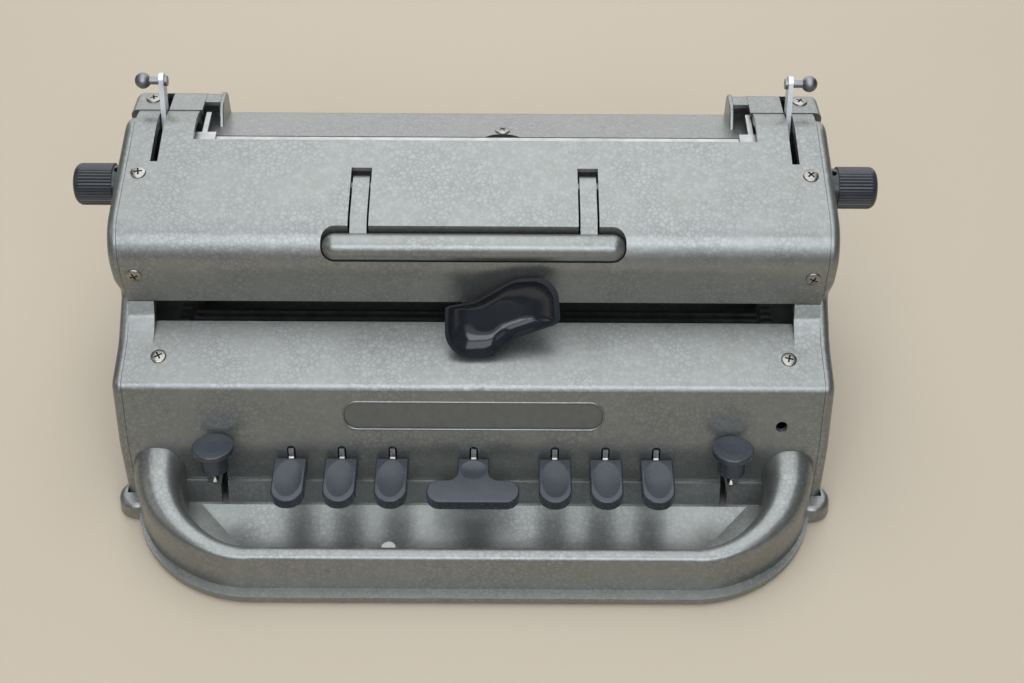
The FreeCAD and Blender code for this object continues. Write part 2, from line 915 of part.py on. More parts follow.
lugs = []
feet = []
foot_sockets = []
foot_top = c.standHeight + c.footSink
rear_lug_reach = c.rearReach - c.rearLugInset
for number, (side, reach) in enumerate(((-1, -c.frontLugReach), (1, -c.frontLugReach), (-1, rear_lug_reach),
                                        (1, rear_lug_reach))):
    lug_x = side * c.baseHalfWidth
    lug = turned("lug%d" % number, "Z", [
        (c.standHeight, measure(0)),
        (c.standHeight, c.lugRadius),
        (c.lugHeight, c.lugRadius - c.rimRadius / 4, c.lugCrownRadius),
        (c.lugHeight, measure(0)),
    ], (lug_x, reach, 0))
    lugs.append(lug)
    foot_x = side * (c.baseHalfWidth - c.footInset)
    feet.append(rod("foot%d" % number, "Z", c.footRadius, 0, foot_top, (foot_x, reach)))
    socket_radius = c.footRadius + c.runningGap
    foot_sockets.append(rod("footSocket%d" % number, "Z", socket_radius, 0, foot_top, (foot_x, reach)))
node("rubber_feet", group("rubberFeet", feet))

beyond_rear = c.rearReach + c.rimThickness
envelope_outline = offset_path(side_outline[:-2] + [(beyond_rear, c.crownHeight)], c.seatGap)
envelope_outline[0] = (-c.toeReach - c.seatGap, base_top)
body_envelope = prism("bodyEnvelope", "YZ", envelope_outline + [(beyond_rear, base_top)],
                      -half_width - c.seatGap, half_width + c.seatGap)
plate_rebate = box(
    "plateRebate",
    (-c.floorOpeningHalfWidth - c.bottomPlateLap, c.floorOpeningHalfWidth + c.bottomPlateLap),
    (-c.floorOpeningFront - c.bottomPlateLap, c.floorOpeningRear + c.bottomPlateLap),
    (0, c.standHeight + c.bottomPlateThickness),
)
floor_opening = box(
    "floorOpening",
    (-c.floorOpeningHalfWidth, c.floorOpeningHalfWidth),
    (-c.floorOpeningFront, c.floorOpeningRear),
    (0, base_top + 1),
)
flange_floor = cut("flangeFloor", flange, [trough])
base_solid = fuse("baseSolid", [flange_floor, left_horn, right_horn, front_rail, tray_floor] + lugs)
wall_slots = []
for side in (-1, 1):
    end_slot = (side * c.endLeverX - c.endSlotWidth / 2, side * c.endLeverX + c.endSlotWidth / 2)
    wall_slots.append(box("wallSlot%d" % side, end_slot, (-c.trayLipReach - 1, -c.kneeReach),
                          (c.trayLipHeight, c.trayWallHeight + 1)))
base_cuts = [body_envelope, plate_rebate, floor_opening] + foot_sockets + wall_slots
node("base_casting", cut("baseCasting", base_solid, base_cuts))
plate_lap = c.bottomPlateLap - c.seatGap
node("bottom_plate", box(
    "bottomPlate",
    (-c.floorOpeningHalfWidth - plate_lap, c.floorOpeningHalfWidth + plate_lap),
    (-c.floorOpeningFront - plate_lap, c.floorOpeningRear + plate_lap),
    (c.standHeight, c.standHeight + c.bottomPlateThickness),
))

# Side plates with a flange that carries the covers, and the bores and studs of the works
cover_outline = side_outline[:-2] + [(tab_end, top_height(tab_end), c.crownRadius), (tab_end, base_top)]
land_outline = offset_path(cover_outline, -(c.coverThickness + c.seatGap), closed=True)
land_outline[0] = (land_outline[0][0], base_top)
land_outline[-1] = (land_outline[-1][0], base_top)
well_outline = offset_path(cover_outline, -(c.coverThickness + c.seatGap + c.landWall), closed=True)
well_outline[0] = (well_outline[0][0], base_top - 1)
well_outline[-1] = (well_outline[-1][0], base_top - 1)
shaft_bores = [
    (key_shaft, c.keyShaftRadius),
    ((c.lowerRailFront, c.lowerRailZ), c.railRadius),
    ((c.lowerRailRear, c.lowerRailZ), c.railRadius),
    ((c.headRailY, c.headRailZ), c.railRadius),
    (pressure_centre, c.pressureShaftRadius),
]


def side_plate(name, side):
    outer_face = side > 0
    body = doc.addObject("PartDesign::Body", name + "Body")
    rim = pad(body, body_sketch(body, name + "Rim", "YZ_Plane", side * cover_half, side_outline),
              c.rimThickness, not outer_face)
    outside = side * half_width.number
    body_fillet(body, rim, c.rimRadius, lambda edge: all(
        abs(v.X - outside) < 0.01 for v in edge.Vertexes) and edge.BoundBox.ZMax > base_top.number + 0.1
        and edge.BoundBox.YMin < c.rearSeam.number - 0.1)
    land = body_sketch(body, name + "Land", "YZ_Plane", side * cover_half, land_outline)
    pad(body, land, c.landWidth, outer_face)
    well = body_sketch(body, name + "Well", "YZ_Plane", side * (cover_half - c.landWidth), well_outline)
    pocket(body, well, c.landWidth, outer_face)
    tools = []
    for number, (centre, radius) in enumerate(shaft_bores):
        low, high = span(side * (cover_half - 1), side * (cover_half + c.seatDepth))
        tools.append(rod("%sBore%d" % (name, number), "X", radius + c.runningGap, low, high, centre))
    low, high = span(side * (cover_half - 1), side * (half_width + 1))
    tools.append(rod(name + "BushBore", "X", c.bushRadius + c.runningGap, low, high, roller_centre))
    rack_low, rack_high = span(side * (cover_half - 1), side * (cover_half + c.seatDepth))
    tools.append(box(name + "RackSeat", (rack_low, rack_high),
                     (c.rackFront - c.runningGap, c.rackFront + c.rackThickness + c.runningGap),
                     (c.rackLow - c.runningGap, c.rackLow + c.rackHeight + c.runningGap)))
    release_inner = c.leverSlotX - c.releaseThickness
    studs = [stud(name + "ReleaseStud", side, c.releaseStudRadius, release_inner, release_pivot)]
    if side < 0:
        barrel_inner = c.barrelInner - c.barrelRim
        studs.append(stud(name + "PawlStud", side, c.pawlBore, c.ratchetInner, pawl_pivot))
        studs.append(stud(name + "BarrelStud", side, c.barrelSpindleRadius, barrel_inner, barrel_centre))
    trimmed = cut(name + "Bored", body, tools + screw_holes(name))
    return fuse(name + "Plate", [trimmed] + studs)


def stud(name, side, radius, inner, centre):
    low, high = span(side * inner, side * (cover_half + 1))
    return rod(name, "X", radius, low, high, centre)


node("left_side_plate", side_plate("leftPlate", -1))
node("right_side_plate", side_plate("rightPlate", 1))

# Lower front cover
dot_key_xs = []
for side in (-1, 1):
    for step in range(3):
        dot_key_xs.append(side * (c.innerKeyX + c.keyPitch * step))
dot_key_xs = sorted(dot_key_xs, key=lambda m: m.number)
front_foot = cover_foot + c.coverThickness * 0.2
toe_lean = (c.toeReach - c.kneeReach) / (c.kneeHeight - base_top)
front_path = [
    (-c.toeReach + (front_foot - base_top) * toe_lean, front_foot),
    (-c.kneeReach, c.kneeHeight, c.kneeRadius),
    (-c.crestReach, c.crestHeight, c.crestRadius),
    (-c.restBendReach, c.restBendHeight, c.restBendRadius),
    (c.slotLipReach, slot_lip_height),
]
front_sheet = prism("frontSheet", "YZ", strip(front_path, c.coverThickness), -cover_end, cover_end)
shoulders = []
for side in (-1, 1):
    low, high = span(side * c.slotHalfWidth, side * cover_end)
    shoulders.append(prism("shoulder%d" % side, "YZ", [
        (-c.shoulderFoot, rest_height_at(-c.shoulderFoot) - c.coverThickness * 0.6),
        (-c.shoulderFoot, rest_height_at(-c.shoulderFoot) - c.coverThickness * 0.2),
        (-c.slotLipReach, slot_lip_height, c.crestRadius),
        (c.bulgeFront - c.seamGap, c.shoulderTop),
        (c.shoulderBack, c.shoulderTop),
        (c.shoulderBack, rest_height_at(c.shoulderBack) - c.coverThickness * 0.6),
    ], low, high))

slot_depth = (-c.toeReach - 5, -c.crestReach + 10)


def key_slot(name, x, width, low, top):
    straight_top = top - width / 2
    block = box(name + "Block", (x - width / 2, x + width / 2), slot_depth, (low, straight_top))
    arch = rod(name + "Arch", "Y", width / 2, *slot_depth, (x, straight_top))
    return fuse(name, [block, arch])


front_tools = [key_slot("keySlot%d" % i, x, c.keySlotWidth, c.keySlotLow, c.keySlotTop)
               for i, x in enumerate(dot_key_xs + [measure(0)])]
for side in (-1, 1):
    end_slot_x = side * c.endLeverX
    front_tools.append(key_slot("endSlot%d" % side, end_slot_x, c.endSlotWidth, c.endSlotLow, c.endSlotTop))
front_tools.append(rod("sightHole", "Y", c.sightHoleRadius, *slot_depth, (c.sightHoleX, c.sightHoleHeight)))
name_half = c.namePlateLength / 2
name_radius = (c.namePlateHigh - c.namePlateLow) / 2 - 0.3


def name_window(name, gap):
    return prism(name, "XZ", [
        (-name_half + gap, c.namePlateLow + gap, name_radius - gap),
        (name_half - gap, c.namePlateLow + gap, name_radius - gap),
        (name_half - gap, c.namePlateHigh - gap, name_radius - gap),
        (-name_half + gap, c.namePlateHigh - gap, name_radius - gap),
    ], *slot_depth)


front_tools.append(name_window("nameWindow", measure(0)))
crest = front_path[2]
towards_crest = unit(front_path[1], crest)
from_crest = unit(crest, front_path[3])
crest_cosine = root((1 + towards_crest[0] * from_crest[0] + towards_crest[1] * from_crest[1]) / 2)
dish_lift = c.thumbDishRadius - c.thumbDishDepth - c.crestRadius * (measure(1) / crest_cosine - 1)
front_tools.append(ball("thumbDish", c.thumbDishRadius, c.thumbDishX,
                        crest[0] - dish_lift * (towards_crest[1] + from_crest[1]) / (2 * crest_cosine),
                        crest[1] + dish_lift * (towards_crest[0] + from_crest[0]) / (2 * crest_cosine)))
front_whole = fuse("frontWhole", [front_sheet] + shoulders)
node("lower_front_cover", cut("lowerFrontCover", front_whole, front_tools + screw_holes("front")))
plate_path = offset_path(front_path, -c.namePlateSink)
plate_section = strip(plate_path, c.coverThickness - c.namePlateSink)
name_sheet = prism("nameSheet", "YZ", plate_section, -name_half, name_half)
node("name_plate", common("namePlate", name_sheet, name_window("namePlateEdge", c.runningGap)))

# Top cover with the handle's trough, the arms' slots and the release levers' slots
top_path = [
    (c.bulgeFront, c.skirtHeight),
    (c.bulgeFront, c.bulgeTopHeight, c.bulgeRadius),
    (tab_end, top_height(tab_end), c.crownRadius),
    (tab_end, c.tabFoot),
]
top_sheet = prism("topSheet", "YZ", strip(top_path, c.coverThickness), -cover_end, cover_end)
trough_outer = c.handleRadius + c.troughGap + c.troughWall
trough_inner = c.handleRadius + c.troughGap
grip_end = c.handleHalfLength - c.handleRadius
top_mass = prism("topMass", "YZ", [
    top_path[0], top_path[1], top_path[2], (tab_end, c.skirtHeight),
], -cover_end, cover_end)


def grip(name, radius):
    bar = rod(name + "Bar", "X", radius, -grip_end, grip_end, (c.handleY, c.handleZ))
    ends = [ball("%sEnd%d" % (name, side), radius, side * grip_end, c.handleY, c.handleZ) for side in (-1, 1)]
    return fuse(name, [bar] + ends)


def grip_sweep(name, radius):
    # The room that the grip passes through while the handle swings clear of the cover.
    reach_y = c.handleY - c.pivotY
    reach_z = c.handleZ - c.pivotZ
    reach = root(reach_y * reach_y + reach_z * reach_z)
    half_length = grip_end + radius
    corner = radius * 0.98
    sketch = doc.addObject("Sketcher::SketchObject", name + "Outline")
    draw(sketch, [
        (-half_length, reach - radius, corner),
        (half_length, reach - radius, corner),
        (half_length, reach + radius, corner),
        (-half_length, reach + radius, corner),
    ])
    outward = Vector(0, reach_y.number, reach_z.number).normalize()
    place(sketch, 0, *handle_pivot, rotation=Rotation(AXES["X"], outward, AXES["X"].cross(outward)))
    item = doc.addObject("Part::Revolution", name)
    item.Source = sketch
    item.Axis = -AXES["X"]
    item.Solid = True
    bind(item, "Angle", c.handleClearTurn)
    for letter, value in zip("yz", handle_pivot):
        bind(item, "Base." + letter, value)
    return item


handle_trough = common("handleTrough", grip("troughOuter", trough_outer), top_mass)
arm_slots = []
pivot_bosses = []
pivot_bores = []
for side in (-1, 1):
    slot_x = side * c.armX
    slot_rear = c.pivotY + c.pivotHeel + c.troughGap
    arm_slots.append(box("armSlot%d" % side, (slot_x - c.armSlotWidth / 2, slot_x + c.armSlotWidth / 2),
                         (c.handleY, slot_rear), (c.handleZ - c.handleRadius, c.crownHeight)))
    for outer in (-1, 1):
        near = slot_x + outer * c.armSlotWidth / 2
        far = near + outer * c.pivotBossWidth
        low, high = span(near, far)
        boss_name = "pivotBoss%d%d" % (side, outer)
        boss = fuse(boss_name, [
            rod(boss_name + "Eye", "X", c.pivotBossRadius, low, high, handle_pivot),
            box(boss_name + "Web", (low, high), (c.pivotY - c.pivotBossRadius, c.pivotY + c.pivotBossRadius),
                (c.pivotZ, top_height(c.pivotY) - c.coverThickness / 2)),
        ])
        pivot_bosses.append(common(boss_name + "Trim", boss, top_mass))
    pin_low = slot_x - c.armSlotWidth / 2 - c.pivotBossWidth
    pin_high = slot_x + c.armSlotWidth / 2 + c.pivotBossWidth
    bore_radius = c.pivotRadius + c.runningGap
    pivot_bores.append(rod("pivotBore%d" % side, "X", bore_radius, pin_low, pin_high, handle_pivot))


def lever_slot(name, side, front):
    # Room for a paper release lever to swing in.
    half_slot = c.leverSlotWidth / 2
    return box(name, (side * c.leverSlotX - half_slot, side * c.leverSlotX + half_slot),
               (front, c.rearReach - c.leverSlotRearInset), (c.tabFoot - 2, c.crownHeight + 1))


lever_slots = [lever_slot("leverSlot%d" % side, side, c.leverSlotFront) for side in (-1, 1)]
rear_notch = box("rearNotch", (-c.tabInner, c.tabInner), (c.topRearEdge, c.rearSeam + 1),
                 (c.skirtHeight, c.crownHeight + 1))
top_whole = fuse("topWhole", [top_sheet, handle_trough] + pivot_bosses)
handle_room = [grip("troughInner", trough_inner), grip_sweep("gripSweep", c.handleRadius + c.handleRelief)]
top_cuts = handle_room + [rear_notch] + arm_slots + lever_slots + pivot_bores
node("top_cover", cut("topCover", top_whole, top_cuts + screw_holes("top")))

# Rear cover: end walls, ears with hoods, and the lower shelf between them
shelf_path = [
    (c.shelfFront, c.shelfFrontHeight),
    (c.rearReach, c.shelfRearHeight, c.shelfRadius),
    (c.rearReach, cover_foot),
]
ear_path = [
    (rear_start, c.earLip),
    (rear_start, c.earFrontHeight),
    (c.rearReach, c.earRearHeight, c.earRadius),
    (c.rearReach, cover_foot),
]
hood_slope = (c.earRearHeight - c.earFrontHeight) / (c.rearReach - c.hoodFront)
hood_drop = c.coverThickness * root(1 + hood_slope * hood_slope)
hood_inner_front = c.hoodFront + c.coverThickness
rear_inner = c.rearReach - c.coverThickness


def hood_underside(y):
    return c.earFrontHeight + hood_slope * (y - c.hoodFront) - hood_drop


hood_section = [
    (c.hoodFront, c.hoodFoot),
    (c.hoodFront, c.earFrontHeight),
    (c.rearReach, c.earRearHeight, c.earRadius),
    (c.rearReach, cover_foot),
] + list(reversed(offset_path(shelf_path, -c.coverThickness))) + [
    (c.shelfFront, c.shelfFrontHeight),
    (rear_inner, shelf_height(rear_inner)),
    (rear_inner, hood_underside(rear_inner), c.earRadius - c.coverThickness),
    (hood_inner_front, hood_underside(hood_inner_front)),
    (hood_inner_front, c.hoodFoot),
]
end_wall = [
    (rear_start, cover_foot),
    (rear_start, c.earFrontHeight),
    (c.rearReach, c.earRearHeight, c.earRadius),
    (c.rearReach, cover_foot),
]
rear_pieces = [prism("shelf", "YZ", strip(shelf_path, c.coverThickness), -c.hoodInner, c.hoodInner)]
for side in (-1, 1):
    low, high = span(side * c.earInner, side * cover_half)
    rear_pieces.append(prism("ear%d" % side, "YZ", strip(ear_path, c.coverThickness), low, high))
    low, high = span(side * c.hoodInner, side * c.earInner)
    rear_pieces.append(prism("hood%d" % side, "YZ", hood_section, low, high))
    outside = side * half_width
    low, high = span(side * cover_half, outside)
    wall = prism("endWall%d" % side, "YZ", end_wall, low, high)
    rear_pieces.append(round_edges("endWallRound%d" % side, wall, c.rimRadius, lambda edge: all(
        abs(v.X - outside.number) < 0.01 for v in edge.Vertexes) and edge.BoundBox.ZMax > c.earLip.number
        and edge.BoundBox.YMax > rear_start.number + 0.1))
hammer_stud = rod("hammerStud", "Z", c.hammerStudRadius, c.hammerZ - c.hammerThickness,
                  shelf_height(c.hammerY) - c.coverThickness / 2, hammer_pivot)
bell_window = rod("bellWindow", "Z", c.bellWindowRadius, c.bellTop, c.crownHeight,
                  (c.bellX, c.bellY - c.bellWindowRadius - c.bellWindowOffset))
rear_whole = fuse("rearWhole", rear_pieces + [hammer_stud])
rear_lever_slots = [lever_slot("rearLeverSlot%d" % side, side, c.rearSeam) for side in (-1, 1)]
node("rear_cover", cut("rearCover", rear_whole, [bell_window] + rear_lever_slots + screw_holes("rear")))

# Carry handle: a round-ended grip and two flat arms with trunnions
handle_parts = [grip("gripSolid", c.handleRadius)]
for side in (-1, 1):
    arm_x = side * c.armX
    low = arm_x - c.armWidth / 2
    high = arm_x + c.armWidth / 2
    bend_y = c.handleY + c.handleRadius * 1.6
    arm = prism("arm%d" % side, "YZ", [
        (c.handleY, c.handleZ - c.armHeight / 2),
        (c.handleY, c.handleZ + c.armHeight / 2),
        (bend_y, top_height(bend_y) - c.armSink, c.handleRadius),
        (c.pivotY + c.pivotHeel, top_height(c.pivotY) - c.armSink, c.pivotHeel * 0.9),
        (c.pivotY + c.pivotHeel, c.pivotZ - c.pivotHeel, c.pivotHeel * 0.9),
        (c.handleY + c.handleRadius * 2, c.pivotZ - c.pivotHeel, c.handleRadius),
    ], low, high)
    trunnion_half = c.armSlotWidth / 2 + c.pivotBossWidth - c.trunnionGap
    trunnion = rod("trunnion%d" % side, "X", c.pivotRadius, arm_x - trunnion_half, arm_x + trunnion_half,
                   handle_pivot)
    handle_parts.extend([arm, trunnion])
node("carry_handle", fuse("carryHandle", handle_parts))

# Key shaft and the nine key levers
seat_reach = cover_half + c.seatDepth - c.seatGap
node("key_shaft", rod("keyShaft", "X", c.keyShaftRadius, -seat_reach, seat_reach, key_shaft))
bar_ys = [c.firstBarY + c.barPitch * i for i in range(6)]
lever_half = c.leverThickness / 2
tang_low = c.keyTop - c.keyHeight + 1
hub_bore_radius = c.keyShaftRadius + c.runningGap


def lever_hub(name, x):
    # The hub of a key lever, and the bore in it for the key shaft.
    hub = rod(name + "Hub", "X", c.leverHubRadius, x - c.leverThickness, x + c.leverThickness, key_shaft)
    bore_half = 2 * c.leverThickness
    bore = rod(name + "HubBore", "X", hub_bore_radius, x - bore_half, x + bore_half, key_shaft)
    return hub, bore


def key_lever(name, x, tang_front, tail_y):
    # A flat lever with a hub on the key shaft, a tang in front and an upright finger on its tail.
    finger_top = c.barLow - c.fingerGap
    half_finger = c.barThickness * 0.4
    finger_y = tail_y + c.barThickness / 2
    blade = prism(name + "Blade", "YZ", [
        (tang_front, tang_low),
        (tang_front, tang_low + c.leverDepth * 0.7),
        (-c.keyBack + c.keyWall, tang_low + c.leverDepth * 0.7),
        (-c.kneeReach, c.leverNeckTop),
        (-c.kneeReach + 10, c.leverNeckTop),
        (c.keyShaftY, c.keyShaftZ + c.leverHubRadius * 0.85),
        (finger_y - 2 * half_finger, c.keyShaftZ + c.leverDepth / 2),
        (finger_y - half_finger, finger_top),
        (finger_y + half_finger, finger_top),
        (finger_y + 2 * half_finger, c.keyShaftZ - c.leverDepth / 2),
        (c.keyShaftY, c.keyShaftZ - c.leverHubRadius * 0.85),
        (-c.crestReach, tang_low - 1),
    ], x - lever_half, x + lever_half)
    hub, bore = lever_hub(name, x)
    return cut(name, fuse(name + "Solid", [blade, hub]), [bore])


def keytop_socket(name, x):
    # Room in a key top for the lever's tang.
    return box(name, (x - lever_half - c.runningGap, x + lever_half + c.runningGap),
               (-c.keyFront + c.keyWall * 2, -c.keyBack + 5),
               (c.keyTop - c.keyHeight - 1, tang_low + c.leverDepth * 0.7 + c.runningGap))


def key_dish(name, x, half_width, front, back):
    # A shallow hollow with an oval edge in a key's top, for the fingertip.
    lift = c.keyDishHeight - c.keyDishDepth
    share = root(1 - lift * lift / (c.keyDishHeight * c.keyDishHeight))
    item = doc.addObject("Part::Ellipsoid", name)
    bind(item, "Radius1", c.keyDishHeight)
    bind(item, "Radius2", half_width / share)
    bind(item, "Radius3", (back - front) / 2 / share)
    return place(item, x, (front + back) / 2, c.keyTop + lift)


def finish_key(name, blank, x, half_width, dish_front):
    # Rounds a key's upper edge, dishes its top and opens it below for the tang.
    rounded = round_edges(name + "Round", blank, c.keyEdgeRadius, at_height(c.keyTop))
    dish = key_dish(name + "Dish", x, half_width - c.keyDishEdge, dish_front, -c.keyBack - c.keyDishEdge)
    return cut(name, rounded, [dish, keytop_socket(name + "Socket", x)])


for number, x in enumerate(dot_key_xs):
    name = "dotKey%d" % (number + 1)
    half = c.keyWidth / 2
    blank = prism(name + "Blank", "XY", [
        (x - half, -c.keyBack),
        (x - half, -c.keyFront, half * 0.96),
        (x + half, -c.keyFront, half * 0.96),
        (x + half, -c.keyBack),
    ], c.keyTop - c.keyHeight, c.keyTop)
    node("dot_key_%d" % (number + 1), finish_key(name, blank, x, half, -c.keyFront + 2 * c.keyDishEdge))
    lever = key_lever("dotLever%d" % (number + 1), x, -c.keyFront + c.keyWall * 3, bar_ys[number])
    node("dot_lever_%d" % (number + 1), lever)

bar_back = -c.keyFront + c.spaceBarDepth
half_stem = c.spaceStemWidth / 2
half_bar = c.spaceBarWidth / 2
space_blank = prism("spaceBlank", "XY", [
    (-half_stem, -c.keyBack),
    (-half_stem, bar_back, c.spaceFillet),
    (-half_bar, bar_back, c.spaceBarDepth * 0.45),
    (-half_bar, -c.keyFront, c.spaceBarDepth * 0.48),
    (half_bar, -c.keyFront, c.spaceBarDepth * 0.48),
    (half_bar, bar_back, c.spaceBarDepth * 0.45),
    (half_stem, bar_back, c.spaceFillet),
    (half_stem, -c.keyBack),
], c.keyTop - c.keyHeight, c.keyTop)
middle = measure(0)
node("space_key", finish_key("spaceKey", space_blank, middle, half_stem, bar_back))
space_tail = c.firstBarY - c.barPitch
node("space_lever", key_lever("spaceLever", middle, -c.keyFront + c.keyWall * 3, space_tail))

lean = Rotation(Vector(1, 0, 0), -c.endKeyLean.number)
lean_rise = -sine(c.endKeyLean) / cosine(c.endKeyLean)
for name, side in (("line_space", -1), ("back_space", 1)):
    short = "lineSpace" if side < 0 else "backSpace"
    key_x = side * c.endKeyX
    stem_top = c.endStemHeight
    cap_top = c.endStemHeight + c.endCapThickness
    button = turned(short + "Button", "Z", [
        (measure(0), measure(0)),
        (measure(0), c.endStemRadius, c.runningGap * 10),
        (stem_top, c.endStemRadius - 0.4),
        (stem_top, c.endCapRadius, c.runningGap * 10),
        (cap_top, c.endCapRadius, c.endCapThickness * 0.3),
        (cap_top - c.endDishDepth, c.endCapRadius * 0.45, c.endCapRadius),
        (cap_top - c.endDishDepth, measure(0)),
    ], (0, 0, 0))
    end_key = doc.addObject("Part::Compound", short + "Key")
    end_key.Links = [button]
    place(end_key, key_x, -c.endKeyY, c.endKeyZ, lean)
    node(name + "_key", end_key)
    lever_x = side * c.endLeverX
    blade = prism(short + "Blade", "YZ", [
        (-c.endKeyY - c.endStemRadius, c.endKeyZ - c.leverDepth - 3),
        (-c.endKeyY - c.endStemRadius, c.endKeyZ - 2.6),
        (-c.endKeyY + c.endStemRadius, c.endKeyZ - 2.6),
        (-c.kneeReach + 8, c.endKeyZ - 2.6),
        (c.keyShaftY, c.keyShaftZ + c.leverHubRadius * 0.85),
        (c.firstBarY, c.keyShaftZ + c.leverDepth / 2),
        (c.firstBarY, c.keyShaftZ - c.leverDepth / 2),
        (c.keyShaftY, c.keyShaftZ - c.leverHubRadius * 0.85),
        (-c.crestReach, tang_low - 3),
    ], lever_x - lever_half, lever_x + lever_half)
    hub, bore = lever_hub(short, lever_x)
    seat = prism(short + "Seat", "YZ", [
        (-c.endKeyY - c.endStemRadius * 0.8, c.endKeyZ - c.leverDepth),
        (-c.endKeyY - c.endStemRadius * 0.8, c.endKeyZ - 0.8 * c.endStemRadius * lean_rise - c.runningGap),
        (-c.endKeyY + c.endStemRadius * 0.8, c.endKeyZ + 0.8 * c.endStemRadius * lean_rise - c.runningGap),
        (-c.endKeyY + c.endStemRadius * 0.8, c.endKeyZ - c.leverDepth),
    ], *span(lever_x, key_x + side * c.endStemRadius * 0.5))
    node(name + "_lever", cut(short + "Lever", fuse(short + "LeverSolid", [blade, hub, seat]), [bore]))

# Embossing bars and their end guides
for number, bar_y in enumerate(bar_ys):
    node("embossing_bar_%d" % (number + 1), box(
        "embossingBar%d" % (number + 1), (-c.barHalfLength, c.barHalfLength),
        (bar_y - c.barThickness / 2, bar_y + c.barThickness / 2), (c.barLow, c.barLow + c.barHeight)))
guides = []
for side in (-1, 1):
    low, high = span(side * c.guideInner, side * cover_half)
    block = box("guide%d" % side, (low, high),
                (c.firstBarY - c.guideMargin, bar_ys[-1] + c.guideMargin),
                (c.barLow - c.guideMargin, c.barLow + c.guideRise))
    low, high = span(side * (c.guideInner - 1), side * (c.barHalfLength + c.sideGap))
    slots = [box("guideSlot%d%d" % (side, i), (low, high),
                 (y - c.barThickness / 2 - c.sideGap, y + c.barThickness / 2 + c.sideGap),
                 (c.barLow, c.barLow + c.guideRise + 1)) for i, y in enumerate(bar_ys)]
    guides.append(cut("guideBlock%d" % side, block, slots))
node("bar_guides", group("barGuides", guides))

# Rails, rack, pin carriage and embossing head
node("carriage_rails", group("carriageRails", [
    rod("frontRailRod", "X", c.railRadius, -seat_reach, seat_reach, (c.lowerRailFront, c.lowerRailZ)),
    rod("rearRailRod", "X", c.railRadius, -seat_reach, seat_reach, (c.lowerRailRear, c.lowerRailZ)),
    rod("headRailRod", "X", c.railRadius, -seat_reach, seat_reach, (c.headRailY, c.headRailZ)),
]))
rack_start = -c.rackPitch * c.rackTeeth / 2
rack_top = c.rackLow + c.rackHeight
tooth_root = rack_top - c.rackToothDepth
rack_body = doc.addObject("PartDesign::Body", "escapementRack")
rack_bar = body_sketch(rack_body, "rackBar", "XZ_Plane", -c.rackFront, [
    (-seat_reach, c.rackLow),
    (seat_reach, c.rackLow),
    (seat_reach, tooth_root),
    (-seat_reach, tooth_root),
])
pad(rack_body, rack_bar, c.rackThickness, True)
tooth_outline = body_sketch(rack_body, "rackTooth", "XZ_Plane", -c.rackFront, [
    (rack_start, tooth_root - c.rackToothDepth / 2),
    (rack_start + c.rackPitch * 0.6, tooth_root - c.rackToothDepth / 2),
    (rack_start + c.rackPitch * 0.6, tooth_root),
    (rack_start + c.rackPitch * 0.3, rack_top),
    (rack_start, rack_top),
])
tooth = pad(rack_body, tooth_outline, c.rackThickness, True)
tooth_row = rack_body.newObject("PartDesign::LinearPattern", "rackTeethRow")
tooth_row.Originals = [tooth]
tooth_row.Direction = (plane_of(rack_body, "X_Axis"), [""])
bind(tooth_row, "Length", c.rackPitch * (c.rackTeeth - 1))
bind(tooth_row, "Occurrences", c.rackTeeth)
rack_body.Tip = tooth_row
node("escapement_rack", rack_body)

block_x = (c.carriageX - c.carriageHalfLength, c.carriageX + c.carriageHalfLength)
bore_radius = c.railRadius + c.runningGap
rail_wall = c.railRadius + c.landWall
carriage_slab = box("carriageSlab", block_x, (c.lowerRailFront - rail_wall, c.lowerRailRear + rail_wall),
                    (c.pinCarriageLow, c.pinCarriageHigh))
pin_block = box("pinBlock", (c.carriageX - c.carriageHalfLength / 2, c.carriageX + c.carriageHalfLength / 2),
                (c.pinBlockFront, c.pinBlockRear), (c.pinCarriageLow, c.pinBlockTop))
pins = []
for number, bar_y in enumerate(bar_ys):
    pin_y = c.headFront + c.railRadius + c.pinRadius * 4 * (number % 3)
    pin_x = c.carriageX + c.pinRadius * 4 * (number // 3) - c.pinRadius * 2
    pins.append(rod("pin%d" % number, "Z", c.pinRadius, c.pinBlockTop - 1, c.pinBlockTop + c.pinRise,
                    (pin_x, pin_y)))
rail_bores = [rod("railBore%d" % i, "X", bore_radius, block_x[0] - 1, block_x[1] + 1, (y, c.lowerRailZ))
              for i, y in enumerate((c.lowerRailFront, c.lowerRailRear))]
carriage_solid = fuse("pinCarriageSolid", [carriage_slab, pin_block] + pins)
node("pin_carriage", cut("pinCarriage", carriage_solid, rail_bores))

head_block = prism("headBlock", "YZ", [
    (c.headFront, c.headLow),
    (c.headFront, c.headHigh, c.crestRadius),
    (c.headRear, c.headHigh, c.crestRadius),
    (c.headRear, c.headLow),
], *block_x)
head_bore = rod("headBore", "X", bore_radius, block_x[0] - 1, block_x[1] + 1, (c.headRailY, c.headRailZ))
lever_x0 = c.carriageX + c.tangOffset
lever_x1 = lever_x0 + c.tangWidth
head_pivot = (c.headPivotY, c.headPivotZ)
head_pocket = box("headPocket", (lever_x0 - c.sideGap, lever_x1 + c.sideGap),
                  (c.headFront - 1, c.tangRear + 2),
                  (c.headLow - 1, c.headPivotZ + c.headPivotRadius + 2))
head_pin = rod("headPin", "X", c.headPivotRadius, lever_x0 - 2, lever_x1 + 2, head_pivot)
die_foot = box("dieFoot", (c.carriageX + 1, c.carriageX + c.carriageHalfLength - 4),
               (c.headFront + 2, c.headFront + 14), (c.tangLow, c.headLow + 1))
head_cut = cut("headCut", head_block, [head_bore, head_pocket])
node("embossing_head", fuse("embossingHead", [head_cut, head_pin, die_foot]))

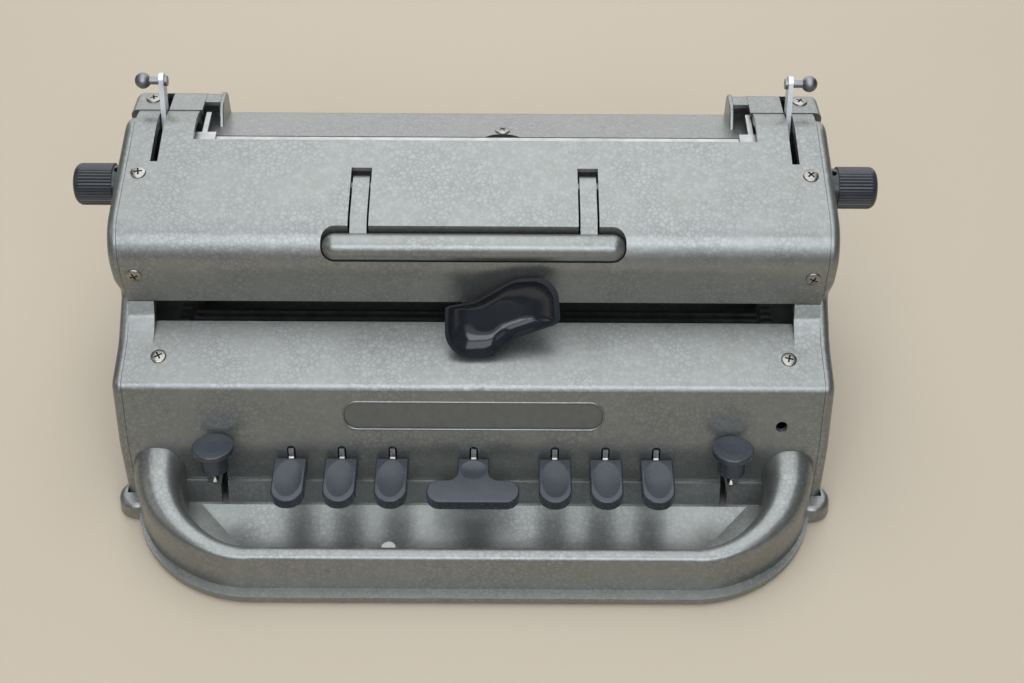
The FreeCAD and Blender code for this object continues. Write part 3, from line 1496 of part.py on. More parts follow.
# Scoop-shaped lever: a hollow hull on a tang that goes into the head
scoop_rim = [
    (-27.6, 25.2, 1.5),
    (-28, -0.5, 13),
    (-5.5, -0.2, 14),
    (6, 9.5, 18),
    (28, 17.5, 4),
    (26, 40.5, 11),
    (6, 39.5, 18),
    (-13, 28, 18),
]
scoop_rotation = Rotation(Vector(1, 0, 0), c.scoopTilt.number)


def scoop_outline(name, share, depth):
    # The scoop's rim drawn in towards its focus, at a depth behind the rim's plane.
    corners = []
    for across, along, radius in scoop_rim:
        u = c.scoopFocusAcross - 14 + (across - (c.scoopFocusAcross - 14)) * share
        v = c.scoopFocusAlong + (along - c.scoopFocusAlong) * share
        corners.append((u, v, measure(radius * share)))
    sketch = doc.addObject("Sketcher::SketchObject", name)
    draw(sketch, corners)
    normal = scoop_rotation.multVec(Vector(0, 0, 1))
    return place(sketch, c.carriageX, c.scoopToeY - depth * normal.y, c.scoopToeZ - depth * normal.z,
                 scoop_rotation)


def hull(name, shares_and_depths):
    loft = doc.addObject("Part::Loft", name)
    sections = []
    for number, (share, depth) in enumerate(shares_and_depths):
        sections.append(scoop_outline("%s%d" % (name, number), share, depth))
    loft.Sections = sections
    loft.Solid = True
    return loft


scoop_outer = hull("scoopOuter", ((1.0, measure(0)), (0.9, c.scoopDepth * 0.5), (0.5, c.scoopDepth)))
scoop_inner = hull("scoopInner", ((0.93, measure(-0.4)), (0.8, c.scoopDepth * 0.5 - c.scoopWall * 0.4),
                                  (0.36, c.scoopDepth - c.scoopWall)))
tang_top = c.tangLow + c.tangThickness
tang_plate = box("tangPlate", (lever_x0, lever_x1), (c.tangFront, c.tangRear), (c.tangLow, tang_top))
tang_eye = rod("tangEye", "X", c.headPivotRadius + 1.5, lever_x0, lever_x1, head_pivot)
tang_bore = rod("tangBore", "X", c.headPivotRadius + c.runningGap, lever_x0 - 3, lever_x1 + 3, head_pivot)
head_lever_solid = fuse("headLeverSolid", [scoop_outer, tang_plate, tang_eye])
node("head_lever", cut("headLever", head_lever_solid, [scoop_inner, tang_bore]))

# Paper roller, bushes, ratchet, pawl, knobs and pressure roller
node("paper_roller", turned("paperRoller", "X", [
    (-shaft_reach, measure(0)),
    (-shaft_reach, c.shaftRadius),
    (-c.rollerHalfLength, c.shaftRadius),
    (-c.rollerHalfLength, c.rollerRadius),
    (c.rollerHalfLength, c.rollerRadius),
    (c.rollerHalfLength, c.shaftRadius),
    (shaft_reach, c.shaftRadius),
    (shaft_reach, measure(0)),
], (0, *roller_centre)))
bushes = []
for side in (-1, 1):
    low, high = span(side * cover_half, side * half_width)
    sleeve = rod("bush%d" % side, "X", c.bushRadius, low, high, roller_centre)
    low, high = span(side * (cover_half - c.bushFlangeThickness), side * cover_half)
    flange_ring = rod("bushFlange%d" % side, "X", c.bushFlangeRadius, low, high, roller_centre)
    bore_inner = cover_half - 2 * c.bushFlangeThickness
    low, high = span(side * bore_inner, side * (half_width + c.bushFlangeThickness))
    bore = rod("bushBore%d" % side, "X", c.shaftRadius + c.runningGap, low, high, roller_centre)
    bushes.append(cut("bushRing%d" % side, fuse("bushSolid%d" % side, [sleeve, flange_ring]), [bore]))
node("roller_bushes", group("rollerBushes", bushes))


def knob(name, side):
    # A turned knob with a smooth collar, a ribbed barrel and a set screw hole.
    start = half_width + c.knobGap
    collar_end = start + c.knobCollarLength
    body = doc.addObject("PartDesign::Body", name + "Body")
    sketch = body.newObject("Sketcher::SketchObject", name + "Profile")
    sketch.AttachmentSupport = (plane_of(body, "XZ_Plane"), "")
    sketch.MapMode = "FlatFace"
    draw(sketch, [
        (side * start, c.shaftRadius + c.runningGap),
        (side * start, c.knobCollarRadius),
        (side * collar_end, c.knobCollarRadius),
        (side * collar_end, c.knobRadius),
        (side * c.knobReach, c.knobRadius, c.knobEndRadius),
        (side * c.knobReach, measure(0)),
        (side * (shaft_reach + c.runningGap), measure(0)),
        (side * (shaft_reach + c.runningGap), c.shaftRadius + c.runningGap),
    ])
    spin = body.newObject("PartDesign::Revolution", name + "Spin")
    spin.Profile = sketch
    spin.ReferenceAxis = (sketch, ["H_Axis"])
    spin.Angle = 360
    doc.recompute()
    rib_width = c.knobRibDepth * 0.9
    rib_sketch = body_sketch(body, name + "Rib", "YZ_Plane", side * collar_end, [
        (-rib_width, c.knobRadius + c.runningGap),
        (rib_width, c.knobRadius + c.runningGap),
        (measure(0), c.knobRadius - c.knobRibDepth),
    ])
    groove = pocket(body, rib_sketch, c.knobReach - collar_end - c.knobEndRadius * 0.8, side > 0)
    pattern = body.newObject("PartDesign::PolarPattern", name + "Ribs")
    pattern.Originals = [groove]
    pattern.Axis = (plane_of(body, "X_Axis"), [""])
    pattern.Angle = 360
    bind(pattern, "Occurrences", c.knobRibs)
    body.Tip = pattern
    bind(body, "Placement.Base.y", c.rollerY)
    bind(body, "Placement.Base.z", c.rollerZ)
    hole_x = side * (start + c.knobCollarLength / 2)
    hole = rod(name + "SetHole", "Z", c.setScrewRadius, c.rollerZ + c.shaftRadius,
               c.rollerZ + c.knobRadius + 1, (hole_x, c.rollerY))
    return cut(name, body, [hole])


node("left_knob", knob("leftKnob", -1))
node("right_knob", knob("rightKnob", 1))

ratchet_corners = []
teeth = int(c.ratchetTeeth.number)
for tooth in range(teeth):
    for offset, radius in ((0.0, c.ratchetRadius), (0.75, c.ratchetRadius - c.ratchetToothDepth)):
        turn = 2 * math.pi * (tooth + offset) / teeth
        ratchet_corners.append((c.rollerY + radius * math.cos(turn), c.rollerZ + radius * math.sin(turn)))
ratchet_outer = -c.ratchetInner - c.ratchetThickness
ratchet_blank = prism("ratchetBlank", "YZ", ratchet_corners, ratchet_outer, -c.ratchetInner)
ratchet_bore = rod("ratchetBore", "X", c.shaftRadius + c.runningGap, -cover_half, -c.ratchetInner + 1,
                   roller_centre)
node("ratchet_wheel", cut("ratchetWheel", ratchet_blank, [ratchet_bore]))

to_pawl = unit(roller_centre, pawl_pivot)
tip_distance = c.ratchetRadius + c.pawlTipGap
tip = (c.rollerY + to_pawl[0] * tip_distance, c.rollerZ + to_pawl[1] * tip_distance)
pawl_blade = prism("pawlBlade", "YZ", [
    (c.pawlY - to_pawl[1] * c.pawlHubRadius * 0.8, c.pawlZ + to_pawl[0] * c.pawlHubRadius * 0.8),
    (c.pawlY + to_pawl[1] * c.pawlHubRadius * 0.8, c.pawlZ - to_pawl[0] * c.pawlHubRadius * 0.8),
    (tip[0] + to_pawl[1] * 0.6, tip[1] - to_pawl[0] * 0.6),
    (tip[0] - to_pawl[1] * 0.6, tip[1] + to_pawl[0] * 0.6),
], ratchet_outer, -c.ratchetInner)
pawl_hub = rod("pawlHub", "X", c.pawlHubRadius, ratchet_outer, -c.ratchetInner, pawl_pivot)
pawl_bore = rod("pawlHubBore", "X", c.pawlBore + c.runningGap, -cover_half, -c.ratchetInner + 1, pawl_pivot)
node("line_space_pawl", cut("lineSpacePawl", fuse("pawlSolid", [pawl_blade, pawl_hub]), [pawl_bore]))

node("pressure_roller", turned("pressureRoller", "X", [
    (-seat_reach, measure(0)),
    (-seat_reach, c.pressureShaftRadius),
    (-c.pressureHalfLength, c.pressureShaftRadius),
    (-c.pressureHalfLength, c.pressureRadius),
    (c.pressureHalfLength, c.pressureRadius),
    (c.pressureHalfLength, c.pressureShaftRadius),
    (seat_reach, c.pressureShaftRadius),
    (seat_reach, measure(0)),
], (0, *pressure_centre)))

# Paper release levers with their turned balls
lean_sine = sine(c.releaseLean)
lean_cosine = cosine(c.releaseLean)


def along_lever(distance, aside):
    # A point at a distance up the leaning lever and a distance in front of its middle line.
    return (
        c.releaseY + distance * lean_sine - aside * lean_cosine,
        c.releaseZ + distance * lean_cosine + aside * lean_sine,
    )


for side_name, side in (("left", -1), ("right", 1)):
    lever_low = side * c.leverSlotX - c.releaseThickness / 2
    lever_high = side * c.leverSlotX + c.releaseThickness / 2
    half = c.releaseWidth / 2
    foot = measure(0)
    blade = prism(side_name + "ReleaseBlade", "YZ", [
        along_lever(foot, half),
        along_lever(foot, -half),
        along_lever(c.releaseLength, -half) + (half * 0.9,),
        along_lever(c.releaseLength, half) + (half * 0.9,),
    ], lever_low, lever_high)
    hub = rod(side_name + "ReleaseHub", "X", c.releaseHubRadius, lever_low, lever_high, release_pivot)
    bore = rod(side_name + "ReleaseBore", "X", c.releaseStudRadius + c.runningGap, lever_low - 1,
               lever_high + 1, release_pivot)
    ball_y, ball_z = along_lever(c.ballDistance, foot)
    eye = rod(side_name + "BallHole", "X", c.ballNeckRadius + c.runningGap, lever_low - 1, lever_high + 1,
              (ball_y, ball_z))
    node(side_name + "_release_lever",
         cut(side_name + "ReleaseLever", fuse(side_name + "ReleaseSolid", [blade, hub]), [bore, eye]))
    outer = lever_high if side > 0 else lever_low
    inner = lever_low if side > 0 else lever_high
    ball_x = outer + side * c.ballReach
    neck_low, neck_high = span(inner, ball_x)
    rivet_low, rivet_high = span(inner, inner - side * c.ballRivetHeight)
    seam_outward = Rotation(Vector(0, 0, 1), 0 if side > 0 else 180)
    node(side_name + "_release_ball", fuse(side_name + "ReleaseBall", [
        ball(side_name + "BallHead", c.ballRadius, ball_x, ball_y, ball_z, seam_outward),
        rod(side_name + "BallNeck", "X", c.ballNeckRadius, neck_low, neck_high, (ball_y, ball_z)),
        rod(side_name + "BallRivet", "X", c.ballRivetRadius, rivet_low, rivet_high, (ball_y, ball_z)),
    ]))

# Mainspring barrel
barrel_x = (-c.barrelInner - c.barrelThickness, -c.barrelInner)
barrel_solid = turned("barrelSolid", "X", [
    (barrel_x[0], c.barrelSpindleRadius + c.runningGap),
    (barrel_x[0], c.barrelRadius),
    (barrel_x[0] + c.barrelRim, c.barrelRadius),
    (barrel_x[0] + c.barrelRim, c.barrelRadius - c.barrelRim),
    (barrel_x[1] - c.barrelRim, c.barrelRadius - c.barrelRim),
    (barrel_x[1] - c.barrelRim, c.barrelRadius),
    (barrel_x[1], c.barrelRadius),
    (barrel_x[1], c.barrelSpindleRadius + c.runningGap),
], (0, *barrel_centre))
node("spring_barrel", barrel_solid)

# Margin stops on their bar
margin_rear = c.marginBarFront + c.marginBarDepth
margin_top = c.marginBarLow + c.marginBarHeight
margin_strip = box("marginStrip", (-c.marginBarReach, c.marginBarReach), (c.marginBarFront, margin_rear),
                   (c.marginBarLow, margin_top))
hangers = []
for side in (-1, 1):
    low, high = span(side * (c.marginBarReach - c.hangerLength), side * c.marginBarReach)
    hangers.append(prism("marginHanger%d" % side, "YZ", [
        (c.marginBarFront, c.marginBarLow),
        (margin_rear, c.marginBarLow),
        (margin_rear, top_underside(margin_rear) - c.seatGap),
        (c.marginBarFront, top_underside(c.marginBarFront) - c.seatGap),
    ], low, high))
node("margin_bar", fuse("marginBar", [margin_strip] + hangers))


def margin_stop(name, x):
    half_stop = c.stopLength / 2
    block = box(name + "Block", (x - half_stop, x + half_stop),
                (c.marginBarFront - c.stopWall, margin_rear + c.stopWall),
                (c.marginBarLow - c.stopWall, margin_top + c.stopWall))
    bore = box(name + "Bore", (x - c.stopLength, x + c.stopLength),
               (c.marginBarFront - c.sideGap, margin_rear + c.sideGap),
               (c.marginBarLow - c.sideGap, margin_top + c.sideGap))
    finger = prism(name + "Finger", "YZ", [
        (margin_rear + c.sideGap, margin_top),
        (margin_rear + c.sideGap, c.fingerTop),
        (c.fingerRear, c.fingerTop, (c.fingerTop - c.fingerLow) * 0.45),
        (c.fingerRear, c.fingerLow, (c.fingerTop - c.fingerLow) * 0.45),
        (c.shelfFront, margin_top),
    ], x - c.fingerThickness / 2, x + c.fingerThickness / 2)
    return cut(name, fuse(name + "Solid", [block, finger]), [bore])


node("left_margin_stop", margin_stop("leftStop", c.leftStopX))
node("right_margin_stop", margin_stop("rightStop", c.rightStopX))

# Bell under the shelf, and its hammer
bell_low = c.bellTop - c.bellHeight
post_top = shelf_height(c.bellY + c.bellPostRadius) - c.coverThickness * 1.06
bell_shell = turned("bellShell", "Z", [
    (bell_low, c.bellRadius - c.bellWall),
    (bell_low, c.bellRadius),
    (c.bellTop, c.bellRadius, c.bellHeight * 0.8),
    (c.bellTop, measure(0)),
    (c.bellTop - c.bellWall, measure(0)),
    (c.bellTop - c.bellWall, c.bellRadius - c.bellWall, c.bellHeight * 0.8 - c.bellWall),
], (c.bellX, c.bellY, 0))
bell_post = rod("bellPost", "Z", c.bellPostRadius, c.bellTop - c.bellWall, post_top, (c.bellX, c.bellY))
bell_hole = screw_solid("bellHole", screw_places[-1], c.screwHoleGap)
node("bell", cut("bell", fuse("bellSolid", [bell_shell, bell_post]), [bell_hole]))

hammer_low = c.hammerZ - c.hammerThickness / 2
hammer_high = c.hammerZ + c.hammerThickness / 2
strike_x = c.bellX + c.bellRadius + c.hammerGap + c.hammerHeadRadius
hammer_hub = rod("hammerHub", "Z", c.hammerHubRadius, hammer_low, hammer_high, hammer_pivot)
hammer_head = rod("hammerHead", "Z", c.hammerHeadRadius, hammer_low - 1, hammer_high + 1, (strike_x, c.bellY))
hammer_arm = prism("hammerArm", "XY", [
    (strike_x, c.bellY - 1),
    (c.hammerX, c.hammerY - 1.5),
    (c.hammerX, c.hammerY + 1.5),
    (strike_x, c.bellY + 1),
], hammer_low, hammer_high)
hammer_bore = rod("hammerBore", "Z", c.hammerStudRadius + c.runningGap, hammer_low - 3, hammer_high + 3,
                  hammer_pivot)
hammer_solid = fuse("hammerSolid", [hammer_hub, hammer_head, hammer_arm])
node("bell_hammer", cut("bellHammer", hammer_solid, [hammer_bore]))

doc.recompute()

faults = []
for item in doc.Objects:
    if "Invalid" in item.State or "Error" in item.State:
        faults.append("%s: %s" % (item.Name, item.getStatusString()))
for name, item in nodes.items():
    if item.Shape.isNull() or not item.Shape.isValid():
        faults.append("%s has no valid shape" % name)
    elif not item.Shape.Solids:
        faults.append("%s has no solid" % name)
if faults:
    raise SystemExit("\n".join(faults))

os.makedirs("parts", exist_ok=True)
for name, item in nodes.items():
    item.Shape.exportStep(os.path.join("parts", name + ".step"))
    print("%-20s %2d solids %9.1f mm3" % (name, len(item.Shape.Solids), item.Shape.Volume))
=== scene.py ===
import json
import math

import bmesh
import bpy
from mathutils import Matrix, Vector


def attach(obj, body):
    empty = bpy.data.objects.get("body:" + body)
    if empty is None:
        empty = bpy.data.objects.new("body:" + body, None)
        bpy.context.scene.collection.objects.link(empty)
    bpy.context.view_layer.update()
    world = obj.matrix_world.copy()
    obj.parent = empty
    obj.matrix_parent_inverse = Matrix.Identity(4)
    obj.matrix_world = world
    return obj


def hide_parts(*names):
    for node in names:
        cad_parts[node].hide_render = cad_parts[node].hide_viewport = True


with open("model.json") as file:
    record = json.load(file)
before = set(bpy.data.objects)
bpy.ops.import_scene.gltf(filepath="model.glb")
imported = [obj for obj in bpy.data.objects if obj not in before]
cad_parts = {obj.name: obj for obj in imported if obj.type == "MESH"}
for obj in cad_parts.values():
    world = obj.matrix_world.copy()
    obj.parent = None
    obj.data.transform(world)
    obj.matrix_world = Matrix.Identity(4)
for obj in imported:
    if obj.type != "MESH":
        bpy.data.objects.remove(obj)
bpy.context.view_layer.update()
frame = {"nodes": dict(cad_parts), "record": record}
nodes = frame["nodes"]
scene = bpy.context.scene
mm = 0.001

print("stage: frame loaded")


# Materials

def newMaterial(name):
    material = bpy.data.materials.new(name)
    material.use_nodes = True
    tree = material.node_tree
    shader = tree.nodes["Principled BSDF"]
    return material, tree, shader


def addNode(tree, kind, **settings):
    node = tree.nodes.new(kind)
    for key, value in settings.items():
        if hasattr(node, key):
            setattr(node, key, value)
        else:
            node.inputs[key].default_value = value
    return node


def join(tree, source, output, target, socket):
    tree.links.new(source.outputs[output], target.inputs[socket])


def ramp(tree, source, output, stops):
    node = tree.nodes.new("ShaderNodeValToRGB")
    elements = node.color_ramp.elements
    while len(elements) < len(stops):
        elements.new(0.5)
    for element, (position, colour) in zip(elements, stops):
        element.position = position
        element.color = (*colour, 1)
    join(tree, source, output, node, "Fac")
    return node


def noise(tree, place, output, scale, detail, **settings):
    node = addNode(tree, "ShaderNodeTexNoise", Scale=scale, Detail=detail, **settings)
    join(tree, place, output, node, "Vector")
    return node


def bumpFrom(tree, shader, source, output, strength, depth, invert=False):
    bump = addNode(tree, "ShaderNodeBump", Strength=strength, Distance=depth, invert=invert)
    join(tree, source, output, bump, "Height")
    join(tree, bump, "Normal", shader, "Normal")


def grey(value):
    return (value, value, value)


def tint(colour, share):
    return tuple(min(1.0, share * channel) for channel in colour)


def warpedPlace(tree, amount, scale):
    # Object coordinates pushed about a little by noise, so that cells and scratches aren't regular.
    place = addNode(tree, "ShaderNodeTexCoord")
    push = noise(tree, place, "Object", scale, 2.0)
    centred = addNode(tree, "ShaderNodeVectorMath", operation="SUBTRACT")
    centred.inputs[1].default_value = grey(0.5)  # noise lies about one half
    join(tree, push, "Color", centred, 0)
    scaled = addNode(tree, "ShaderNodeVectorMath", operation="SCALE")
    scaled.inputs["Scale"].default_value = amount
    join(tree, centred, "Vector", scaled, 0)
    moved = addNode(tree, "ShaderNodeVectorMath", operation="ADD")
    join(tree, place, "Object", moved, 0)
    join(tree, scaled, "Vector", moved, 1)
    return moved


hammertone = {
    "cell": 2.5 * mm,
    "smooth": 0.35,
    "warp": 1.3 * mm,
    "warpScale": 300.0,
    "dark": (0.236, 0.242, 0.228),
    "mid": (0.252, 0.259, 0.245),
    "light": (0.268, 0.275, 0.261),
    "toneStops": (0.22, 0.5, 0.78),
    "cloudScale": 38.0,
    "cloudShare": 0.45,
    "vein": 0.76,
    "veinWidth": 0.17,
    "veinShare": (0.30, 1.0),
    "veinStops": (0.38, 0.60),
    "flake": (0.96, 1.04),
    "flakeScale": 2400.0,
    "flakeStops": (0.35, 0.72),
    "metallic": 0.78,
    "roughness": (0.33, 0.43),
    "bump": 0.17,
    "depth": 0.28 * mm,
    "coat": 0.22,
    "coatRoughness": 0.16,
}


def multiplied(tree, first, output, second):
    # Two colours multiplied in full.
    node = addNode(tree, "ShaderNodeMix", data_type="RGBA", blend_type="MULTIPLY")
    node.inputs["Factor"].default_value = 1.0
    join(tree, first, output, node, "A")
    join(tree, second, "Color", node, "B")
    return node


def greyRamp(tree, source, output, stops, levels):
    return ramp(tree, source, output, [(stop, grey(level)) for stop, level in zip(stops, levels)])


def enamelMaterial(name, values):
    # Hammered enamel: low rounded cells, thin darker veins between them and a fine metal flake.
    material, tree, shader = newMaterial(name)
    moved = warpedPlace(tree, values["warp"], values["warpScale"])
    cellScale = 1 / values["cell"]
    cells = addNode(tree, "ShaderNodeTexVoronoi", feature="SMOOTH_F1", Scale=cellScale,
                    Smoothness=values["smooth"])
    edges = addNode(tree, "ShaderNodeTexVoronoi", feature="DISTANCE_TO_EDGE", Scale=cellScale)
    for texture in (cells, edges):
        join(tree, moved, "Vector", texture, "Vector")
    flake = noise(tree, moved, "Vector", values["flakeScale"], 1.0)
    cloud = noise(tree, moved, "Vector", values["cloudScale"], 3.0)
    tone = addNode(tree, "ShaderNodeSeparateColor")
    join(tree, cells, "Color", tone, "Color")
    spread = addNode(tree, "ShaderNodeMix", data_type="FLOAT")
    spread.inputs["Factor"].default_value = values["cloudShare"]
    join(tree, tone, "Red", spread, "A")
    join(tree, cloud, "Fac", spread, "B")
    tones = (values["dark"], values["mid"], values["light"])
    colours = ramp(tree, spread, "Result", list(zip(values["toneStops"], tones)))
    veins = greyRamp(tree, edges, "Distance", (0.0, values["veinWidth"]), (values["vein"], 1.0))
    veined = multiplied(tree, colours, "Color", veins)
    patchy = greyRamp(tree, cloud, "Fac", values["veinStops"], values["veinShare"])
    join(tree, patchy, "Color", veined, "Factor")  # veins fade out in places
    glint = greyRamp(tree, flake, "Fac", values["flakeStops"], values["flake"])
    flaked = multiplied(tree, veined, "Result", glint)
    join(tree, flaked, "Result", shader, "Base Color")
    rough = addNode(tree, "ShaderNodeMapRange")
    rough.inputs["To Min"].default_value = values["roughness"][0]
    rough.inputs["To Max"].default_value = values["roughness"][1]
    join(tree, flake, "Fac", rough, "Value")
    join(tree, rough, "Result", shader, "Roughness")
    bumpFrom(tree, shader, cells, "Distance", values["bump"], values["depth"], invert=True)
    shader.inputs["Metallic"].default_value = values["metallic"]
    shader.inputs["Coat Weight"].default_value = values["coat"]
    shader.inputs["Coat Roughness"].default_value = values["coatRoughness"]
    return material


plastic = {
    "warp": 0.8 * mm,
    "warpScale": 260.0,
    "mottleScale": 170.0,
    "scuffScale": 900.0,
    "scuffRoughness": 0.7,
    "peelScale": 650.0,
    "dark": 0.86,
    "light": 1.16,
    "toneStops": (0.3, 0.55, 0.75),
    "scuffStops": (0.35, 0.72),
    "bump": 0.05,
    "depth": 0.05 * mm,
}


def plasticMaterial(name, colour, roughness, wear):
    # Moulded plastic: a faint mottle, fine scuffs in the gloss and a very shallow orange peel.
    material, tree, shader = newMaterial(name)
    moved = warpedPlace(tree, plastic["warp"], plastic["warpScale"])
    mottle = noise(tree, moved, "Vector", plastic["mottleScale"], 4.0)
    scuff = noise(tree, moved, "Vector", plastic["scuffScale"], 6.0, Roughness=plastic["scuffRoughness"])
    peel = noise(tree, moved, "Vector", plastic["peelScale"], 1.0)
    tones = (tint(colour, plastic["dark"]), colour, tint(colour, plastic["light"]))
    colours = ramp(tree, mottle, "Fac", list(zip(plastic["toneStops"], tones)))
    join(tree, colours, "Color", shader, "Base Color")
    gloss = greyRamp(tree, scuff, "Fac", plastic["scuffStops"], (roughness, roughness + wear))
    join(tree, gloss, "Color", shader, "Roughness")
    bumpFrom(tree, shader, peel, "Fac", plastic["bump"], plastic["depth"])
    return material


metal = {
    "patchScale": 120.0,
    "patchStops": (0.25, 0.6),
    "dark": 0.72,
    "wear": 0.18,
    "wearStops": (0.3, 0.7),
    "bump": 0.12,
    "depth": 0.03 * mm,
}


def metalMaterial(name, colour, roughness, grain, grainScale):
    # Drawn or plated metal: fine grain along one direction, with dull patches.
    material, tree, shader = newMaterial(name)
    place = addNode(tree, "ShaderNodeTexCoord")
    stretch = addNode(tree, "ShaderNodeMapping")
    stretch.inputs["Scale"].default_value = grain
    join(tree, place, "Object", stretch, "Vector")
    lines = noise(tree, stretch, "Vector", grainScale, 5.0)
    patches = noise(tree, place, "Object", metal["patchScale"], 3.0)
    tones = (tint(colour, metal["dark"]), colour)
    colours = ramp(tree, patches, "Fac", list(zip(metal["patchStops"], tones)))
    join(tree, colours, "Color", shader, "Base Color")
    gloss = greyRamp(tree, lines, "Fac", metal["wearStops"], (roughness, roughness + metal["wear"]))
    join(tree, gloss, "Color", shader, "Roughness")
    bumpFrom(tree, shader, lines, "Fac", metal["bump"], metal["depth"])
    shader.inputs["Metallic"].default_value = 1.0
    return material


rubber = {
    "dustScale": 500.0,
    "dust": 1.9,
    "dustStops": (0.4, 0.75),
    "roughness": 0.82,
    "bump": 0.3,
    "depth": 0.1 * mm,
}


def rubberMaterial(name, colour):
    # Matt and dark, with pale dust in it.
    material, tree, shader = newMaterial(name)
    place = addNode(tree, "ShaderNodeTexCoord")
    dust = noise(tree, place, "Object", rubber["dustScale"], 6.0)
    tones = (colour, tint(colour, rubber["dust"]))
    colours = ramp(tree, dust, "Fac", list(zip(rubber["dustStops"], tones)))
    join(tree, colours, "Color", shader, "Base Color")
    bumpFrom(tree, shader, dust, "Fac", rubber["bump"], rubber["depth"])
    shader.inputs["Roughness"].default_value = rubber["roughness"]
    return material


hatch = {
    "base": (0.232, 0.237, 0.218),
    "dark": 0.62,
    "toneStops": (0.05, 0.45),
    "lines": 420.0,
    "turns": (45.0, -45.0),
    "wearScale": 260.0,
    "metallic": 0.7,
    "roughness": 0.4,
    "bump": 0.35,
    "depth": 0.12 * mm,
}


def hatchMaterial(name, values):
    # The bare name plate: the enamel's tone under fine crossed engraving lines.
    material, tree, shader = newMaterial(name)
    place = addNode(tree, "ShaderNodeTexCoord")
    crossed = addNode(tree, "ShaderNodeMath", operation="MINIMUM")
    for i, turn in enumerate(values["turns"]):
        mapping = addNode(tree, "ShaderNodeMapping")
        mapping.inputs["Rotation"].default_value = (0, math.radians(turn), 0)
        join(tree, place, "Object", mapping, "Vector")
        wave = addNode(tree, "ShaderNodeTexWave", bands_direction="X", Scale=values["lines"])
        join(tree, mapping, "Vector", wave, "Vector")
        join(tree, wave, "Fac", crossed, i)
    wear = noise(tree, place, "Object", values["wearScale"], 4.0)
    patch = addNode(tree, "ShaderNodeMath", operation="MULTIPLY")
    join(tree, crossed, "Value", patch, 0)
    join(tree, wear, "Fac", patch, 1)
    tones = (tint(values["base"], values["dark"]), values["base"])
    colours = ramp(tree, patch, "Value", list(zip(values["toneStops"], tones)))
    join(tree, colours, "Color", shader, "Base Color")
    bumpFrom(tree, shader, crossed, "Value", values["bump"], values["depth"])
    shader.inputs["Metallic"].default_value = values["metallic"]
    shader.inputs["Roughness"].default_value = values["roughness"]
    return material


enamel = enamelMaterial("bodyEnamel", hammertone)
# Plastics: colour, roughness, added wear. Metals: colour, roughness, the grain's stretch and its scale.
keyPlastic = plasticMaterial("keyPlastic", (0.034, 0.039, 0.049), 0.22, 0.10)
knobPlastic = plasticMaterial("knobPlastic", (0.027, 0.029, 0.035), 0.28, 0.12)
scoopPlastic = plasticMaterial("scoopPlastic", (0.015, 0.017, 0.021), 0.13, 0.06)
leverSteel = metalMaterial("leverSteel", (0.62, 0.61, 0.59), 0.24, (1.0, 6.0, 1.0), 900.0)
worksSteel = metalMaterial("worksSteel", (0.46, 0.46, 0.45), 0.34, (1.0, 8.0, 8.0), 300.0)
screwNickel = metalMaterial("screwNickel", (0.36, 0.345, 0.315), 0.24, (1.0, 1.0, 1.0), 1500.0)
brassWorks = metalMaterial("brassWorks", (0.60, 0.45, 0.20), 0.30, (1.0, 6.0, 6.0), 500.0)
bellChrome = metalMaterial("bellChrome", (0.80, 0.80, 0.82), 0.10, (1.0, 1.0, 1.0), 400.0)
bladeZinc = metalMaterial("bladeZinc", (0.66, 0.67, 0.68), 0.34, (1.0, 1.0, 1.0), 420.0)
ballGrey = metalMaterial("ballGrey", (0.25, 0.255, 0.27), 0.34, (1.0, 1.0, 1.0), 420.0)
# Near black for the screw recesses: painted shade there, with some old dirt and pale dust in it.
recessShadeAndDirt = rubberMaterial("recessShadeAndDirt", (0.018, 0.017, 0.015))
darkRoller = rubberMaterial("darkRoller", (0.035, 0.035, 0.036))
footRubber = rubberMaterial("footRubber", (0.020, 0.020, 0.020))
bottomSheet = metalMaterial("bottomSheet", (0.20, 0.20, 0.19), 0.48, (4.0, 1.0, 1.0), 300.0)
plateHatch = hatchMaterial("plateHatch", hatch)

finishBySlot = {
    "body_enamel": enamel,
    "name_plate_face": plateHatch,
    "bare_sheet": bottomSheet,
    "foot_rubber": footRubber,
    "nickel_screw": screwNickel,
    "key_plastic": keyPlastic,
    "scoop_plastic": scoopPlastic,
    "lever_steel": leverSteel,
    "works_steel": worksSteel,
    "roller_rubber": darkRoller,
    "works_brass": brassWorks,
    "bell_chrome": bellChrome,
}
finishByNode = {
    "left_knob": knobPlastic,
    "right_knob": knobPlastic,
    "left_release_lever": bladeZinc,
    "right_release_lever": bladeZinc,
    "left_release_ball": ballGrey,
    "right_release_ball": ballGrey,
}


def dress(piece, material):
    if not piece.material_slots:
        piece.data.materials.append(material)
    for slot in piece.material_slots:
        slot.material = material


for entry in frame["record"]["subparts"]:
    name = entry["node"]
    dress(nodes[name], finishByNode.get(name, finishBySlot[entry["material_slot"]]))

print("stage: materials on the solids")


# Detail pieces

def addPiece(name, mesh, material, body):
    piece = bpy.data.objects.new(name, mesh)
    scene.collection.objects.link(piece)
    piece.data.materials.append(material)
    for polygon in piece.data.polygons:
        polygon.use_smooth = True
    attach(piece, body)
    return piece


def meshFrom(work, name, outward=False):
    # Takes the points and faces out of the working mesh, with faces turned outward if asked.
    if outward:
        bmesh.ops.recalc_face_normals(work, faces=work.faces)
    mesh = bpy.data.meshes.new(name)
    work.to_mesh(mesh)
    work.free()
    return mesh


def ringOf(work, sides, place):
    # A closed ring of points, each where place() puts it for its turn.
    return [work.verts.new(place(2 * math.pi * step / sides)) for step in range(sides)]


def bridge(work, near, far):
    count = len(near)
    for step in range(count):
        follow = (step + 1) % count
        work.faces.new((near[step], near[follow], far[follow], far[step]))


